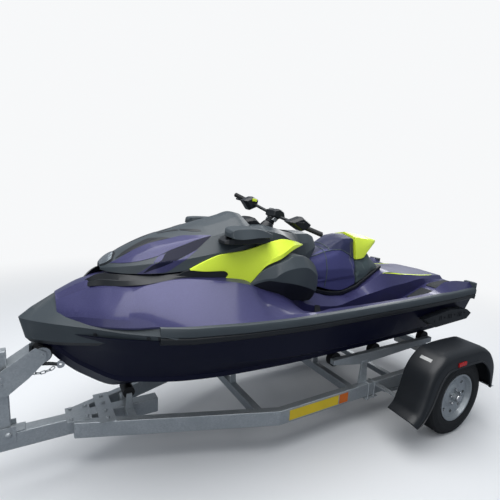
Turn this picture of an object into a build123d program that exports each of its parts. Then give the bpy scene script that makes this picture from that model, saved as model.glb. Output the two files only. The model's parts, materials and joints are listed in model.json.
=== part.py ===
from build123d import *
import os
from math import atan2, cos, radians, sin, tan

# A personal watercraft standing on its single-axle trailer.
# Millimetres. +X forward to the bow and the coupling, +Y to port, +Z up, ground at Z = 0.
# On the craft, a station is measured forward from the stern and a height up from the keel.

os.makedirs("parts", exist_ok=True)
pieces = {}

# Driving dimensions of the whole; the origin lies on the ground midway from tail lights to coupling
COUPLING_NOSE = 4568.0
TAIL_REACH = 96.0
STERN = (TAIL_REACH - COUPLING_NOSE) / 2
KEEL = 447.0
JOINT_LINE = 490.0
STEER_RAKE = 35.0
REST_STEER = 30.0
NOZZLE_RATIO = -2 / 3
SEAT_GAP = 0.3
OPEN_GAP = 6.0


def station(x):
    """Plane across the boat at a station: its sketch axes are port and up from the keel."""
    return Plane(origin=(STERN + x, 0, KEEL), x_dir=(0, 1, 0), z_dir=(1, 0, 0))


def side(y=0.0):
    """Plane along the boat: sketch axes forward from the stern and up; its normal points to starboard."""
    return Plane(origin=(STERN, y, KEEL), x_dir=(1, 0, 0), z_dir=(0, -1, 0))


def level(z):
    """Level plane at a height above the keel: sketch axes forward from the stern and port."""
    return Plane(origin=(STERN, 0, KEEL + z), x_dir=(1, 0, 0), z_dir=(0, 0, 1))


def point(x, y, z):
    """Row position of a station, an offset to port and a height above the keel."""
    return (STERN + x, y, KEEL + z)


def both_sides(half):
    """Closed outline from its port half, which starts on the centre line."""
    return half + [(-y, z) for y, z in reversed(half) if y > 0]


def outline(points):
    """Face inside a closed run of straight lines, for the sketch that is open."""
    Polygon(*points, align=None)


def spoke(x, y, turn):
    """Upright plane whose sketch axes are outward, turn degrees round from the bow, and up."""
    out = (cos(radians(turn)), sin(radians(turn)), 0)
    along = (sin(radians(turn)), -cos(radians(turn)), 0)
    return Plane(origin=(STERN + x, y, KEEL), x_dir=out, z_dir=along)


# Hull: deep V bottom, stepped chine and flared side, up to the joint line.
# station, keel height, bottom edge y, z, chine y, z, beam at the joint line
HULL = [
    (0, 16, 360, 140, 470, 222, 560),
    (400, 0, 395, 150, 500, 236, 590),
    (1000, 0, 420, 158, 532, 246, 607),
    (1700, 0, 425, 162, 545, 258, 611),
    (2150, 0, 400, 160, 520, 283, 600),
    (2500, 0, 330, 150, 452, 318, 562),
    (2800, 20, 205, 150, 325, 352, 430),
    (3000, 140, 105, 232, 185, 392, 285),
    (3120, 258, 45, 322, 95, 425, 165),
    (3200, 372, 14, 400, 30, 446, 62),
]


def hull_bottom(x, y):
    """Height of the hull's bottom at a station and an offset from the centre line, inside the chine."""
    for aft, fore in zip(HULL, HULL[1:]):
        if aft[0] <= x <= fore[0]:
            part = (x - aft[0]) / (fore[0] - aft[0])
            keel, low_y, low_z, chine_y, chine_z = [a + part * (b - a) for a, b in zip(aft[1:6], fore[1:6])]
            if y <= low_y:
                return keel + (low_z - keel) * y / low_y
            return low_z + (chine_z - low_z) * (y - low_y) / (chine_y - low_y)


TUNNEL_WIDTH = 330.0
TUNNEL_TOP = 345.0
TUNNEL_FRONT = 400.0
JET_X = 400.0
JET_Z = 130.0
PUMP_R = 92.0
DUCT_WIDTH = 184.0
INTAKE_REAR = 500.0
INTAKE_FRONT = 960.0
SHAFT_R = 13.0
SHAFT_SEAL = 815.0
RUN_FIT = 0.05

# Deck: port half from the rail in to the centre line. The footwells are let into it, with a ramp at
# their rear; the saddle between them carries the seat.
# station; y and z of rail, gunwale, floor's outer edge, floor's inner edge, shoulder, saddle edge; centre z
DECK = [
    (0, 560, 505, 520, 556, 445, 520, 300, 520, 262, 524, 235, 548, 556),
    (60, 563, 507, 512, 565, 440, 520, 300, 520, 264, 527, 240, 556, 562),
    (200, 576, 515, 506, 583, 432, 520, 288, 520, 270, 542, 248, 566, 577),
    (330, 584, 520, 504, 588, 436, 486, 280, 486, 276, 555, 246, 577, 592),
    (540, 597, 524, 505, 516, 455, 411, 270, 411, 280, 535, 232, 603, 622),
    (700, 602, 527, 508, 511, 420, 355, 264, 355, 280, 523, 218, 630, 645),
    (860, 605, 529, 510, 511, 400, 318, 262, 318, 280, 500, 200, 568, 578),
    (1020, 607, 530, 510, 511, 400, 318, 262, 318, 280, 478, 198, 500, 502),
    (1150, 608, 531, 510, 512, 400, 318, 262, 318, 280, 452, 200, 472, 474),
    (1270, 608, 531, 510, 514, 400, 318, 262, 318, 280, 432, 200, 480, 482),
    (1440, 609, 532, 510, 518, 400, 318, 262, 318, 280, 450, 195, 526, 528),
    (1560, 610, 533, 512, 522, 400, 318, 262, 318, 285, 480, 190, 548, 552),
    (1640, 611, 534, 540, 530, 410, 330, 275, 330, 290, 520, 190, 555, 560),
    (1740, 611, 536, 570, 542, 480, 518, 380, 520, 300, 560, 200, 570, 575),
    (1850, 610, 538, 582, 553, 515, 562, 408, 585, 300, 620, 200, 640, 650),
    (2030, 603, 545, 574, 566, 500, 600, 400, 655, 300, 690, 200, 700, 705),
    (2110, 600, 547, 570, 572, 485, 635, 392, 705, 300, 725, 200, 730, 732),
    (2310, 587, 553, 555, 580, 455, 672, 365, 742, 285, 752, 190, 756, 758),
    (2500, 562, 560, 535, 590, 430, 682, 325, 757, 250, 763, 160, 765, 767),
    (2680, 493, 566, 472, 596, 400, 668, 295, 734, 205, 745, 120, 750, 760),
    (2800, 430, 555, 412, 590, 365, 640, 290, 686, 185, 722, 100, 730, 750),
    (2900, 360, 550, 346, 588, 316, 618, 272, 645, 165, 693, 85, 706, 742),
    (3000, 270, 545, 260, 582, 238, 604, 205, 622, 120, 655, 72, 672, 716),
    (3080, 190, 540, 184, 570, 168, 590, 145, 606, 95, 628, 62, 645, 680),
    (3124, 140, 535, 136, 560, 124, 580, 108, 595, 78, 614, 55, 630, 657),
]
DECK_WALL = 14.0
WELL_REAR = 330
WELL_FRONT = 1560
BIN_ROWS = (2110, 2680)
# Underside of the footwells, and the hollow that each hangs in
WELL_UNDER = 318 - DECK_WALL
HOLLOW_FRONT = 1740
HOLLOW_INNER = 240
HOLLOW_OUTER = 480
FLOOR_INNER = 262.0
FLOOR_OUTER = 400.0

# Seat: station, base z, base half-width, then y and z of waist, seam and shoulder; top z
SEAT = [
    (1560, 548, 150, 148, 690, 120, 780, 75, 812, 818),
    (1440, 524, 165, 174, 690, 127, 793, 84, 821, 827),
    (1300, 486, 176, 182, 690, 130, 826, 92, 838, 842),
    (1250, 477, 178, 182, 690, 133, 830, 102, 858, 868),
    (1170, 471, 181, 182, 690, 141, 826, 113, 895, 912),
    (1110, 479, 182, 181, 690, 149, 800, 117, 918, 938),
    (1010, 502, 181, 178, 690, 154, 748, 121, 911, 941),
    (860, 574, 170, 160, 690, 135, 780, 100, 792, 795),
    (700, 641, 150, 137, 686, 122, 698, 84, 706, 709),
]
# Wing over the seat's rear panel: station, then y and z of foot, flank and shoulder; top z
WING = [
    (1010, 155, 748, 146, 800, 115, 911, 941),
    (926, 148, 750, 140, 800, 105, 902, 925),
    (842, 126, 798, 122, 830, 95, 890, 911),
    (760, 94, 838, 92, 852, 72, 884, 894),
    (668, 28, 860, 27, 864, 20, 868, 870),
]
SEAT_BASE_H = 34.0
SEAT_SPLIT = 1010.0

ENGINE = (960, 1700, 150, 92, 434)
BIN = (2180, 2640, 190, 530)

# Seat shape below the seat, cut from the deck so that the seat base lies on it
with BuildPart() as seat_space:
    for x, low, wide, *rest in SEAT:
        with BuildSketch(station(x)):
            outline(both_sides([(0, low), (wide + 40, low), (wide + 40, low + 500), (0, low + 500)]))
    loft(ruled=True)


def deck_underside(x, ay, az, by, bz, cy, cz, dy, dz, ey, ez, fy, fz, mid_z):
    """Port half of the deck's lower face at one row of its table, from the centre line out to the joint."""
    wall_top = min(by + DECK_WALL, (by + ay) / 2)
    return [
        (0, min(JOINT_LINE - 6, mid_z - DECK_WALL)),
        (ey - DECK_WALL, min(JOINT_LINE - 3, ez - DECK_WALL)),
        (dy - DECK_WALL, min(JOINT_LINE - 2, dz - DECK_WALL)),
        (min(cy + DECK_WALL, wall_top - 2), min(JOINT_LINE - 1.2, cz - DECK_WALL)),
        (wall_top, JOINT_LINE - 0.5),
    ]


def deck_top(x, ay, az, by, bz, cy, cz, dy, dz, ey, ez, fy, fz, mid_z):
    """Port half of the deck's outer and upper face at one row of its table, from the joint in."""
    return [(ay, JOINT_LINE), (ay, az), (by, bz), (cy, cz), (dy, dz), (ey, ez), (fy, fz), (0, mid_z)]


# Deck as one form, solid down to the joint line and one wall thick where it dips below that; its
# neighbours are cut to it, and the mouldings after it divide it where its walls turn
with BuildPart() as deck_form:
    for row in DECK:
        with BuildSketch(station(row[0])):
            outline(both_sides(deck_underside(*row) + deck_top(*row)))
    loft(ruled=True)

with BuildPart() as stern_deck:
    for row in DECK:
        if row[0] <= WELL_REAR:
            with BuildSketch(station(row[0])):
                outline(both_sides(deck_underside(*row) + deck_top(*row)))
    loft(ruled=True)
pieces["stern_deck"] = stern_deck

with BuildPart() as deck:
    for first, last in ((WELL_FRONT, BIN_ROWS[0]), (BIN_ROWS[1], DECK[-1][0])):
        for row in DECK:
            if first <= row[0] <= last:
                with BuildSketch(station(row[0])):
                    outline(both_sides(deck_underside(*row) + deck_top(*row)))
        loft(ruled=True)
pieces["deck"] = deck

# The part round the front storage bin
with BuildPart() as bin_deck:
    for row in DECK:
        if BIN_ROWS[0] <= row[0] <= BIN_ROWS[1]:
            with BuildSketch(station(row[0])):
                outline(both_sides(deck_underside(*row) + deck_top(*row)))
    loft(ruled=True)
    with BuildSketch(level(BIN[3])):
        with Locations(((BIN[0] + BIN[1]) / 2, 0)):
            Rectangle(BIN[1] - BIN[0], 2 * BIN[2])
    extrude(amount=400, mode=Mode.SUBTRACT)
pieces["bin_deck"] = bin_deck

# Between the footwells: the saddle, with its walls down to the floors
with BuildPart() as saddle:
    for row in DECK:
        if WELL_REAR <= row[0] <= WELL_FRONT:
            with BuildSketch(station(row[0])):
                outline(both_sides(deck_underside(*row)[:3] + deck_top(*row)[4:]))
    loft(ruled=True)
    add(seat_space.part, mode=Mode.SUBTRACT)
pieces["saddle"] = saddle

with BuildPart() as footwell_floors:
    for row in DECK:
        if WELL_REAR <= row[0] <= WELL_FRONT:
            with BuildSketch(station(row[0])):
                outline(deck_underside(*row)[2:4] + deck_top(*row)[3:5])
    loft(ruled=True)
    mirror(about=Plane.XZ)
pieces["footwell_floors"] = footwell_floors

# Outer walls of the footwells with the gunwales over them
with BuildPart() as gunwales:
    for row in DECK:
        if WELL_REAR <= row[0] <= WELL_FRONT:
            with BuildSketch(station(row[0])):
                outline(deck_underside(*row)[3:] + deck_top(*row)[:4])
    loft(ruled=True)
    mirror(about=Plane.XZ)
pieces["gunwales"] = gunwales

# Hull under the deck, hollow beside the saddle where the footwells hang, with the engine bay, the jet
# tunnel and the intake duct
with BuildPart() as hull_form:
    for x, keel, low_y, low_z, chine_y, chine_z, beam in HULL:
        with BuildSketch(station(x)):
            outline(both_sides([(0, keel), (low_y, low_z), (chine_y, chine_z), (beam, JOINT_LINE), (0, JOINT_LINE)]))
    loft(ruled=True)
    add(deck_form.part, mode=Mode.SUBTRACT)
    for row in DECK:
        with BuildSketch(station(row[0])):
            outline(both_sides(deck_underside(*row) + [(row[1], JOINT_LINE + 1), (0, JOINT_LINE + 400)]))
    loft(ruled=True, mode=Mode.SUBTRACT)
    for way in (1, -1):
        with BuildSketch(level(WELL_UNDER)):
            with Locations(((WELL_REAR + HOLLOW_FRONT) / 2, way * (HOLLOW_INNER + HOLLOW_OUTER) / 2)):
                Rectangle(HOLLOW_FRONT - WELL_REAR, HOLLOW_OUTER - HOLLOW_INNER)
        extrude(amount=300, mode=Mode.SUBTRACT)
    with BuildSketch(station(SHAFT_SEAL - 90)):
        with Locations((0, JET_Z)):
            Circle(SHAFT_R + RUN_FIT)
    extrude(amount=90, mode=Mode.SUBTRACT)
    with BuildSketch(level(ENGINE[3])):
        with Locations(((ENGINE[0] + ENGINE[1]) / 2, 0)):
            Rectangle(ENGINE[1] - ENGINE[0], 2 * ENGINE[2])
    extrude(amount=ENGINE[4] - ENGINE[3], mode=Mode.SUBTRACT)
    with BuildSketch(station(TUNNEL_FRONT)) as tunnel:
        with Locations((0, TUNNEL_TOP / 2 - 100)):
            Rectangle(TUNNEL_WIDTH, TUNNEL_TOP + 200)
        chamfer(tunnel.vertices().group_by(Axis.Z)[-1], 12)
    extrude(amount=-TUNNEL_FRONT - 50, mode=Mode.SUBTRACT)
    with BuildSketch(side()):
        outline([
            (JET_X - 1, JET_Z - PUMP_R + 6),
            (INTAKE_REAR, -60),
            (INTAKE_FRONT, -60),
            (INTAKE_FRONT, 20),
            (JET_X + 260, JET_Z + PUMP_R - 40),
            (JET_X + 120, JET_Z + PUMP_R - 6),
            (JET_X - 1, JET_Z + PUMP_R - 6),
        ])
    extrude(amount=DUCT_WIDTH / 2 - 8, both=True, mode=Mode.SUBTRACT)

# Its bottom, up to the footwells' underside, and its sides above that
with BuildPart() as hull:
    add(hull_form.part)
    split(bisect_by=level(WELL_UNDER), keep=Keep.BOTTOM)
pieces["hull"] = hull
with BuildPart() as hull_sides:
    add(hull_form.part)
    split(bisect_by=level(WELL_UNDER), keep=Keep.TOP)
pieces["hull_sides"] = hull_sides

with BuildPart() as engine_block:
    with BuildSketch(level(ENGINE[3])):
        with Locations(((ENGINE[0] + ENGINE[1]) / 2, 0)):
            Rectangle(ENGINE[1] - ENGINE[0], 2 * ENGINE[2])
    extrude(amount=ENGINE[4] - ENGINE[3])
pieces["engine_block"] = engine_block

# Rub rails along both gunwales, from the stern corner to the bow cap.
# station, beam of the hull side, bottom z, top z
RAIL_OUT = 18.0
RAIL = [
    (20, 561, 430, 521),
    (400, 590, 437, 527),
    (1000, 607, 443, 532),
    (1700, 611, 449, 539),
    (2150, 600, 462, 552),
    (2500, 562, 470, 566),
    (2680, 493, 468, 568),
]
with BuildPart() as rub_rail:
    for x, beam, low, high in RAIL:
        with BuildSketch(station(x)):
            outline([
                (beam - 45, low),
                (beam + 4, low),
                (beam + RAIL_OUT, low + 24),
                (beam + RAIL_OUT, high - 26),
                (beam + 2, high),
                (beam - 45, high),
            ])
    loft(ruled=True)
    add(hull_form.part, mode=Mode.SUBTRACT)
    add(deck_form.part, mode=Mode.SUBTRACT)
    mirror(about=Plane.XZ)
pieces["rub_rail"] = rub_rail

# Bow cap: sections round the nose from the centre line to the end of the rail.
# station, y, turn, inner depth, bottom z, lip z, crease z, facet set-in, facet z, top set-in, top z
CAP = [
    (3303, 0, 0, 190, 392, 420, 538, 60, 586, 178, 657),
    (3262, 64, 20, 180, 395, 422, 539, 70, 582, 150, 640),
    (3170, 160, 37, 160, 402, 428, 540, 85, 600, 118, 632),
    (2985, 300, 47, 130, 420, 444, 534, 58, 584, 92, 622),
    (2810, 425, 54, 100, 440, 462, 522, 34, 556, 58, 594),
    (2681, 510, 62, 80, 462, 476, 520, 14, 542, 26, 567),
]
with BuildPart() as bow_cap:
    for x, y, turn, depth, low, lip, crease, mid_in, mid_z, set_in, high in CAP:
        with BuildSketch(spoke(x, y, turn)):
            outline([(-depth, low), (-48, low), (-26, lip), (0, crease), (-mid_in, mid_z), (-set_in, high), (-depth, high)])
    loft(ruled=True)
    split(bisect_by=Plane.XZ, keep=Keep.BOTTOM)
    add(hull_form.part, mode=Mode.SUBTRACT)
    add(deck_form.part, mode=Mode.SUBTRACT)
    mirror(about=Plane.XZ)
    add(rub_rail.part, mode=Mode.SUBTRACT)
pieces["bow_cap"] = bow_cap

# Stern corner caps, which close the ends of the rails
with BuildPart() as stern_caps:
    with BuildSketch(level(428)):
        outline([(-13, 470), (-13, 540), (0, 572), (20, 580), (20, 470)])
    extrude(amount=134)
    add(hull_form.part, mode=Mode.SUBTRACT)
    add(deck_form.part, mode=Mode.SUBTRACT)
    mirror(about=Plane.XZ)
pieces["stern_caps"] = stern_caps

# Hood: front storage lid, a shell that turns up and forward about its front edge.
# station, then y and z of base, flank, shoulder and ridge; top z
HOOD = [
    (2893, 50, 778, 52, 788, 46, 796, 20, 800, 802),
    (2800, 165, 776, 158, 812, 118, 840, 60, 862, 870),
    (2700, 228, 779, 222, 830, 160, 880, 80, 908, 918),
    (2600, 272, 784, 262, 846, 190, 915, 95, 945, 955),
    (2450, 296, 798, 286, 862, 215, 950, 110, 985, 998),
    (2300, 302, 818, 292, 884, 222, 975, 120, 1022, 1040),
    (2150, 294, 838, 284, 910, 205, 1004, 118, 1056, 1078),
    (2060, 280, 854, 270, 930, 188, 1026, 105, 1080, 1104),
    (2000, 262, 866, 252, 945, 165, 1030, 80, 1072, 1092),
]
HOOD_SKIN = 14.0
HOOD_HINGE = (2868, 768)
HINGE_R = 12.0
HINGE_PIN_R = 6.0
KNUCKLE_HALF = 30.0
LUG_W = 10.0
with BuildPart() as hood_form:
    for x, base_y, base_z, flank_y, flank_z, mid_y, mid_z, ridge_y, ridge_z, top in HOOD:
        with BuildSketch(station(x)):
            outline(both_sides([(0, base_z), (base_y, base_z), (flank_y, flank_z), (mid_y, mid_z), (ridge_y, ridge_z), (0, top)]))
    loft(ruled=True)
with BuildPart() as hood_room:
    for x, base_y, base_z, flank_y, flank_z, mid_y, mid_z, ridge_y, ridge_z, top in HOOD:
        with BuildSketch(station(x)):
            low = base_z - OPEN_GAP
            wide = base_y + OPEN_GAP
            outline(both_sides([(0, low), (wide, low), (wide, flank_z), (mid_y + OPEN_GAP, mid_z + OPEN_GAP), (0, top + 40)]))
    loft(ruled=True)
with BuildPart() as hood:
    add(hood_form.part)
    for x, base_y, base_z, flank_y, flank_z, mid_y, mid_z, ridge_y, ridge_z, top in HOOD[1:-1]:
        with BuildSketch(station(x)):
            outline(both_sides([
                (0, base_z - 1), (base_y - HOOD_SKIN, base_z - 1), (flank_y - HOOD_SKIN, flank_z),
                (mid_y - HOOD_SKIN, mid_z - HOOD_SKIN), (ridge_y - HOOD_SKIN / 2, ridge_z - HOOD_SKIN), (0, top - HOOD_SKIN),
            ]))
    loft(ruled=True, mode=Mode.SUBTRACT)
    for y in (KNUCKLE_HALF + LUG_W + 4, -KNUCKLE_HALF):
        with BuildSketch(side(y + 1)):
            with Locations(HOOD_HINGE):
                Circle(HINGE_R + OPEN_GAP)
        extrude(amount=LUG_W + 5, mode=Mode.SUBTRACT)
    with BuildSketch(side(KNUCKLE_HALF)):
        with Locations(HOOD_HINGE):
            Circle(HINGE_R)
    extrude(amount=2 * KNUCKLE_HALF)
    with BuildSketch(side(KNUCKLE_HALF)):
        with Locations(HOOD_HINGE):
            Circle(HINGE_PIN_R + RUN_FIT)
    extrude(amount=2 * KNUCKLE_HALF, mode=Mode.SUBTRACT)
pieces["hood"] = hood

# Trim under the hood: a dark collar on the deck that the hood closes on
with BuildPart() as hood_surround:
    for x, base_y, base_z, *rest in HOOD[1:-1]:
        with BuildSketch(station(x)):
            outline(both_sides([(0, 560), (base_y + 12, 560), (base_y - 4, base_z - OPEN_GAP), (0, base_z - OPEN_GAP)]))
    loft(ruled=True)
    for y in (KNUCKLE_HALF + LUG_W + 2, -KNUCKLE_HALF - 2):
        with BuildSketch(side(y)):
            with Locations(HOOD_HINGE):
                Circle(HINGE_R)
            with Locations((HOOD_HINGE[0], HOOD_HINGE[1] - 60)):
                Rectangle(2 * HINGE_R, 120)
            with Locations((HOOD_HINGE[0] - 40, HOOD_HINGE[1] - 60)):
                Rectangle(80, 60)
        extrude(amount=LUG_W)
    with BuildSketch(side(KNUCKLE_HALF + 2)):
        with Locations(HOOD_HINGE):
            Circle(HINGE_PIN_R)
    extrude(amount=2 * KNUCKLE_HALF + 4)
    add(deck_form.part, mode=Mode.SUBTRACT)
    with BuildSketch(level(BIN[3])):
        with Locations(((BIN[0] + BIN[1]) / 2, 0)):
            Rectangle(BIN[1] - BIN[0], 2 * BIN[2])
    extrude(amount=400, mode=Mode.SUBTRACT)
pieces["hood_surround"] = hood_surround

# Steering column: raked back, through the middle of the bar
STEER_X = 1700.0
STEER_Z = 1084.0
COLUMN_L = 95.0
COLUMN_R = 28.0
column_up = (-sin(radians(STEER_RAKE)), 0, cos(radians(STEER_RAKE)))
steer_axis = Axis(point(STEER_X, 0, STEER_Z), column_up)
bar_plane = Plane(origin=point(STEER_X, 0, STEER_Z), x_dir=(0, 1, 0), z_dir=column_up)

# Console: the body between hood and seat that carries the gauge and the steering column
GLOVE_REAR = STEER_X - 98
GLOVE_FRONT = STEER_X - 6
GLOVE_SLOPE = 0.4
CONSOLE_REAR = 1561.0
CONSOLE_FRONT = 1985.0
CONSOLE_HALF = 178.0
CONSOLE_LOW = 575.0
LID_T = 10.0
LID_HALF = 88.0
lid_rear_z = 850 + GLOVE_SLOPE * (GLOVE_REAR - STEER_X + 100) + SEAT_GAP
lid_front_z = 850 + GLOVE_SLOPE * (GLOVE_FRONT - STEER_X + 100) + SEAT_GAP
LID_HINGE = (GLOVE_FRONT, lid_front_z + LID_T)
LID_PIN_R = 2.5
LID_BARREL_R = 5.0
BARREL_HALF = 40.0
with BuildPart() as console:
    with BuildSketch(side()):
        outline([
            (CONSOLE_REAR, CONSOLE_LOW), (CONSOLE_REAR, 808), (STEER_X - 100, 850), (STEER_X, 890),
            (STEER_X + 60, 945), (STEER_X + 150, 985), (CONSOLE_FRONT - 25, 1010), (CONSOLE_FRONT, 1000),
            (CONSOLE_FRONT, CONSOLE_LOW),
        ])
    extrude(amount=CONSOLE_HALF, both=True)
    with BuildSketch(station(CONSOLE_FRONT)):
        outline(both_sides([(0, CONSOLE_LOW), (240, CONSOLE_LOW), (250, 838), (0, 838)]))
    extrude(amount=115)
    chamfer(console.edges().filter_by(Axis.X).group_by(Axis.Z)[-1], 4)
    with BuildSketch(bar_plane.offset(-COLUMN_L - SEAT_GAP)):
        Circle(COLUMN_R + 10)
    extrude(amount=-110)
    add(deck_form.part, mode=Mode.SUBTRACT)
    add(hood_surround.part, mode=Mode.SUBTRACT)
    with BuildSketch(level(800)):
        with Locations(((GLOVE_REAR + GLOVE_FRONT) / 2, 0)):
            RectangleRounded(GLOVE_FRONT - GLOVE_REAR - 12, 164, 15)
    extrude(amount=120, mode=Mode.SUBTRACT)
    for y in (BARREL_HALF + 7, -BARREL_HALF - 2):
        with BuildSketch(side(y)):
            with Locations(LID_HINGE):
                Circle(LID_BARREL_R)
            with Locations((LID_HINGE[0], LID_HINGE[1] - 10)):
                Rectangle(8, 20)
        extrude(amount=5)
    with BuildSketch(side(BARREL_HALF + 3)):
        with Locations(LID_HINGE):
            Circle(LID_PIN_R)
    extrude(amount=2 * BARREL_HALF + 6)
pieces["console"] = console

with BuildPart() as glovebox_lid:
    with BuildSketch(side()):
        outline([
            (GLOVE_REAR, lid_rear_z), (GLOVE_REAR, lid_rear_z + LID_T),
            (GLOVE_FRONT, lid_front_z + LID_T), (GLOVE_FRONT, lid_front_z),
        ])
    extrude(amount=LID_HALF, both=True)
    for y in (BARREL_HALF + 9, -BARREL_HALF):
        with BuildSketch(side(y)):
            with Locations((LID_HINGE[0], LID_HINGE[1])):
                Rectangle(14, 60)
        extrude(amount=9, mode=Mode.SUBTRACT)
    with BuildSketch(side(BARREL_HALF)):
        with Locations(LID_HINGE):
            Circle(LID_BARREL_R)
    extrude(amount=2 * BARREL_HALF)
    with BuildSketch(side(BARREL_HALF)):
        with Locations(LID_HINGE):
            Circle(LID_PIN_R + RUN_FIT)
    extrude(amount=2 * BARREL_HALF, mode=Mode.SUBTRACT)
pieces["glovebox_lid"] = glovebox_lid

# Lime side panels, folded along a crease, hung on the console's flanks
PANEL = [
    (2449, 803), (2287, 859), (2140, 871), (2000, 901), (1870, 935), (1792, 945), (1668, 925), (1586, 896),
    (1700, 878), (1854, 828), (1957, 799), (2078, 691), (2263, 711), (2208, 757), (2246, 782),
]
PANEL_IN = 178.0
# station, then y and z of crease and top; y of the foot
PANEL_FOLD = [
    (2460, 302, 797, 298, 860, 305),
    (2260, 304, 800, 282, 864, 308),
    (2084, 324, 776, 272, 884, 330),
    (1910, 330, 838, 263, 928, 340),
    (1790, 308, 875, 250, 946, 312),
    (1680, 268, 903, 234, 940, 272),
    (1560, 206, 893, 200, 940, 208),
]
with BuildPart() as side_panels:
    for x, crease_y, crease_z, top_y, top_z, foot_y in PANEL_FOLD:
        with BuildSketch(station(x)):
            outline([(PANEL_IN, 640), (foot_y, 640), (crease_y, crease_z), (top_y, top_z), (PANEL_IN, top_z)])
    loft(ruled=True)
    with BuildSketch(side(400)):
        outline(PANEL)
    extrude(amount=400, mode=Mode.INTERSECT)
    for piece in (deck_form, console, hood_surround, hood_room):
        add(piece.part, mode=Mode.SUBTRACT)
    mirror(about=Plane.XZ)
pieces["side_panels"] = side_panels

# Dark knee pods below them, each with an upper, a broad middle and a lower facet.
# station, then y and z of rim bottom, facet bottom, facet top and rim top
POD = [
    (2076, 340, 655, 342, 668, 343, 682, 340, 688),
    (1990, 340, 612, 380, 708, 378, 724, 350, 770),
    (1920, 338, 590, 386, 708, 388, 728, 350, 798),
    (1850, 335, 566, 388, 695, 390, 750, 348, 812),
    (1736, 320, 530, 375, 655, 378, 776, 330, 846),
    (1620, 300, 517, 345, 605, 350, 745, 310, 824),
    (1504, 300, 605, 305, 632, 306, 660, 300, 692),
]
with BuildPart() as knee_pods:
    for x, low_y, low_z, face_y, face_z, edge_y, edge_z, rim_y, rim_z in POD:
        with BuildSketch(station(x)):
            outline([(PANEL_IN, low_z), (low_y, low_z), (face_y, face_z), (edge_y, edge_z), (rim_y, rim_z), (PANEL_IN, rim_z)])
    loft(ruled=True)
    for piece in (deck_form, console, hood_surround, side_panels, hood_room):
        add(piece.part, mode=Mode.SUBTRACT)
    mirror(about=Plane.XZ)
pieces["knee_pods"] = knee_pods

# Seat base, seat and raised back
with BuildPart() as seat_base:
    for x, low, wide, *rest in SEAT:
        with BuildSketch(station(x)):
            outline(both_sides([(0, low), (wide, low), (wide + 6, low + SEAT_BASE_H), (0, low + SEAT_BASE_H)]))
    loft(ruled=True)
pieces["seat_base"] = seat_base

with BuildPart() as seat_form:
    for x, low, wide, waist_y, waist_z, seam_y, seam_z, edge_y, edge_z, top in SEAT:
        with BuildSketch(station(x)):
            outline(both_sides([
                (0, low + SEAT_BASE_H), (wide, low + SEAT_BASE_H), (waist_y, waist_z), (seam_y, seam_z), (edge_y, edge_z), (0, top),
            ]))
    loft(ruled=True)
with BuildPart() as seat:
    add(seat_form.part)
    split(bisect_by=station(SEAT_SPLIT), keep=Keep.TOP)
pieces["seat"] = seat
with BuildPart() as seat_back:
    add(seat_form.part)
    for x, foot_y, foot_z, flank_y, flank_z, edge_y, edge_z, top in WING:
        with BuildSketch(station(x)):
            outline(both_sides([(0, foot_z), (foot_y, foot_z), (flank_y, flank_z), (edge_y, edge_z), (0, top)]))
    loft(ruled=True)
    split(bisect_by=station(SEAT_SPLIT), keep=Keep.BOTTOM)
pieces["seat_back"] = seat_back

# Mats: ribbed rubber on the footwell floors, up the ramps and on the stern
MAT = 5.0
MAT_INNER = FLOOR_INNER + 26
MAT_OUTER = FLOOR_OUTER - 6
with BuildPart() as mats:
    with BuildSketch(side(MAT_OUTER)):
        floor_line = [(x, dz) for x, ay, az, by, bz, cy, cz, dy, dz, *rest in DECK if 330 < x < 1600]
        outline(floor_line + [(x, z + MAT) for x, z in reversed(floor_line)])
    extrude(amount=MAT_OUTER - MAT_INNER)
    with BuildSketch(level(520)):
        with Locations((110, 362)):
            RectangleRounded(150, 120, 15)
    extrude(amount=MAT)
    mirror(about=Plane.XZ)
pieces["mats"] = mats

# Sponsons on the hull sides near the stern
SPONSON = [(95, 328), (159, 367), (384, 393), (707, 356), (551, 271), (150, 286)]
with BuildPart() as sponsons:
    with BuildSketch(side(612)):
        outline(SPONSON)
    extrude(amount=110)
    add(hull_form.part, mode=Mode.SUBTRACT)
    mirror(about=Plane.XZ)
pieces["sponsons"] = sponsons

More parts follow.
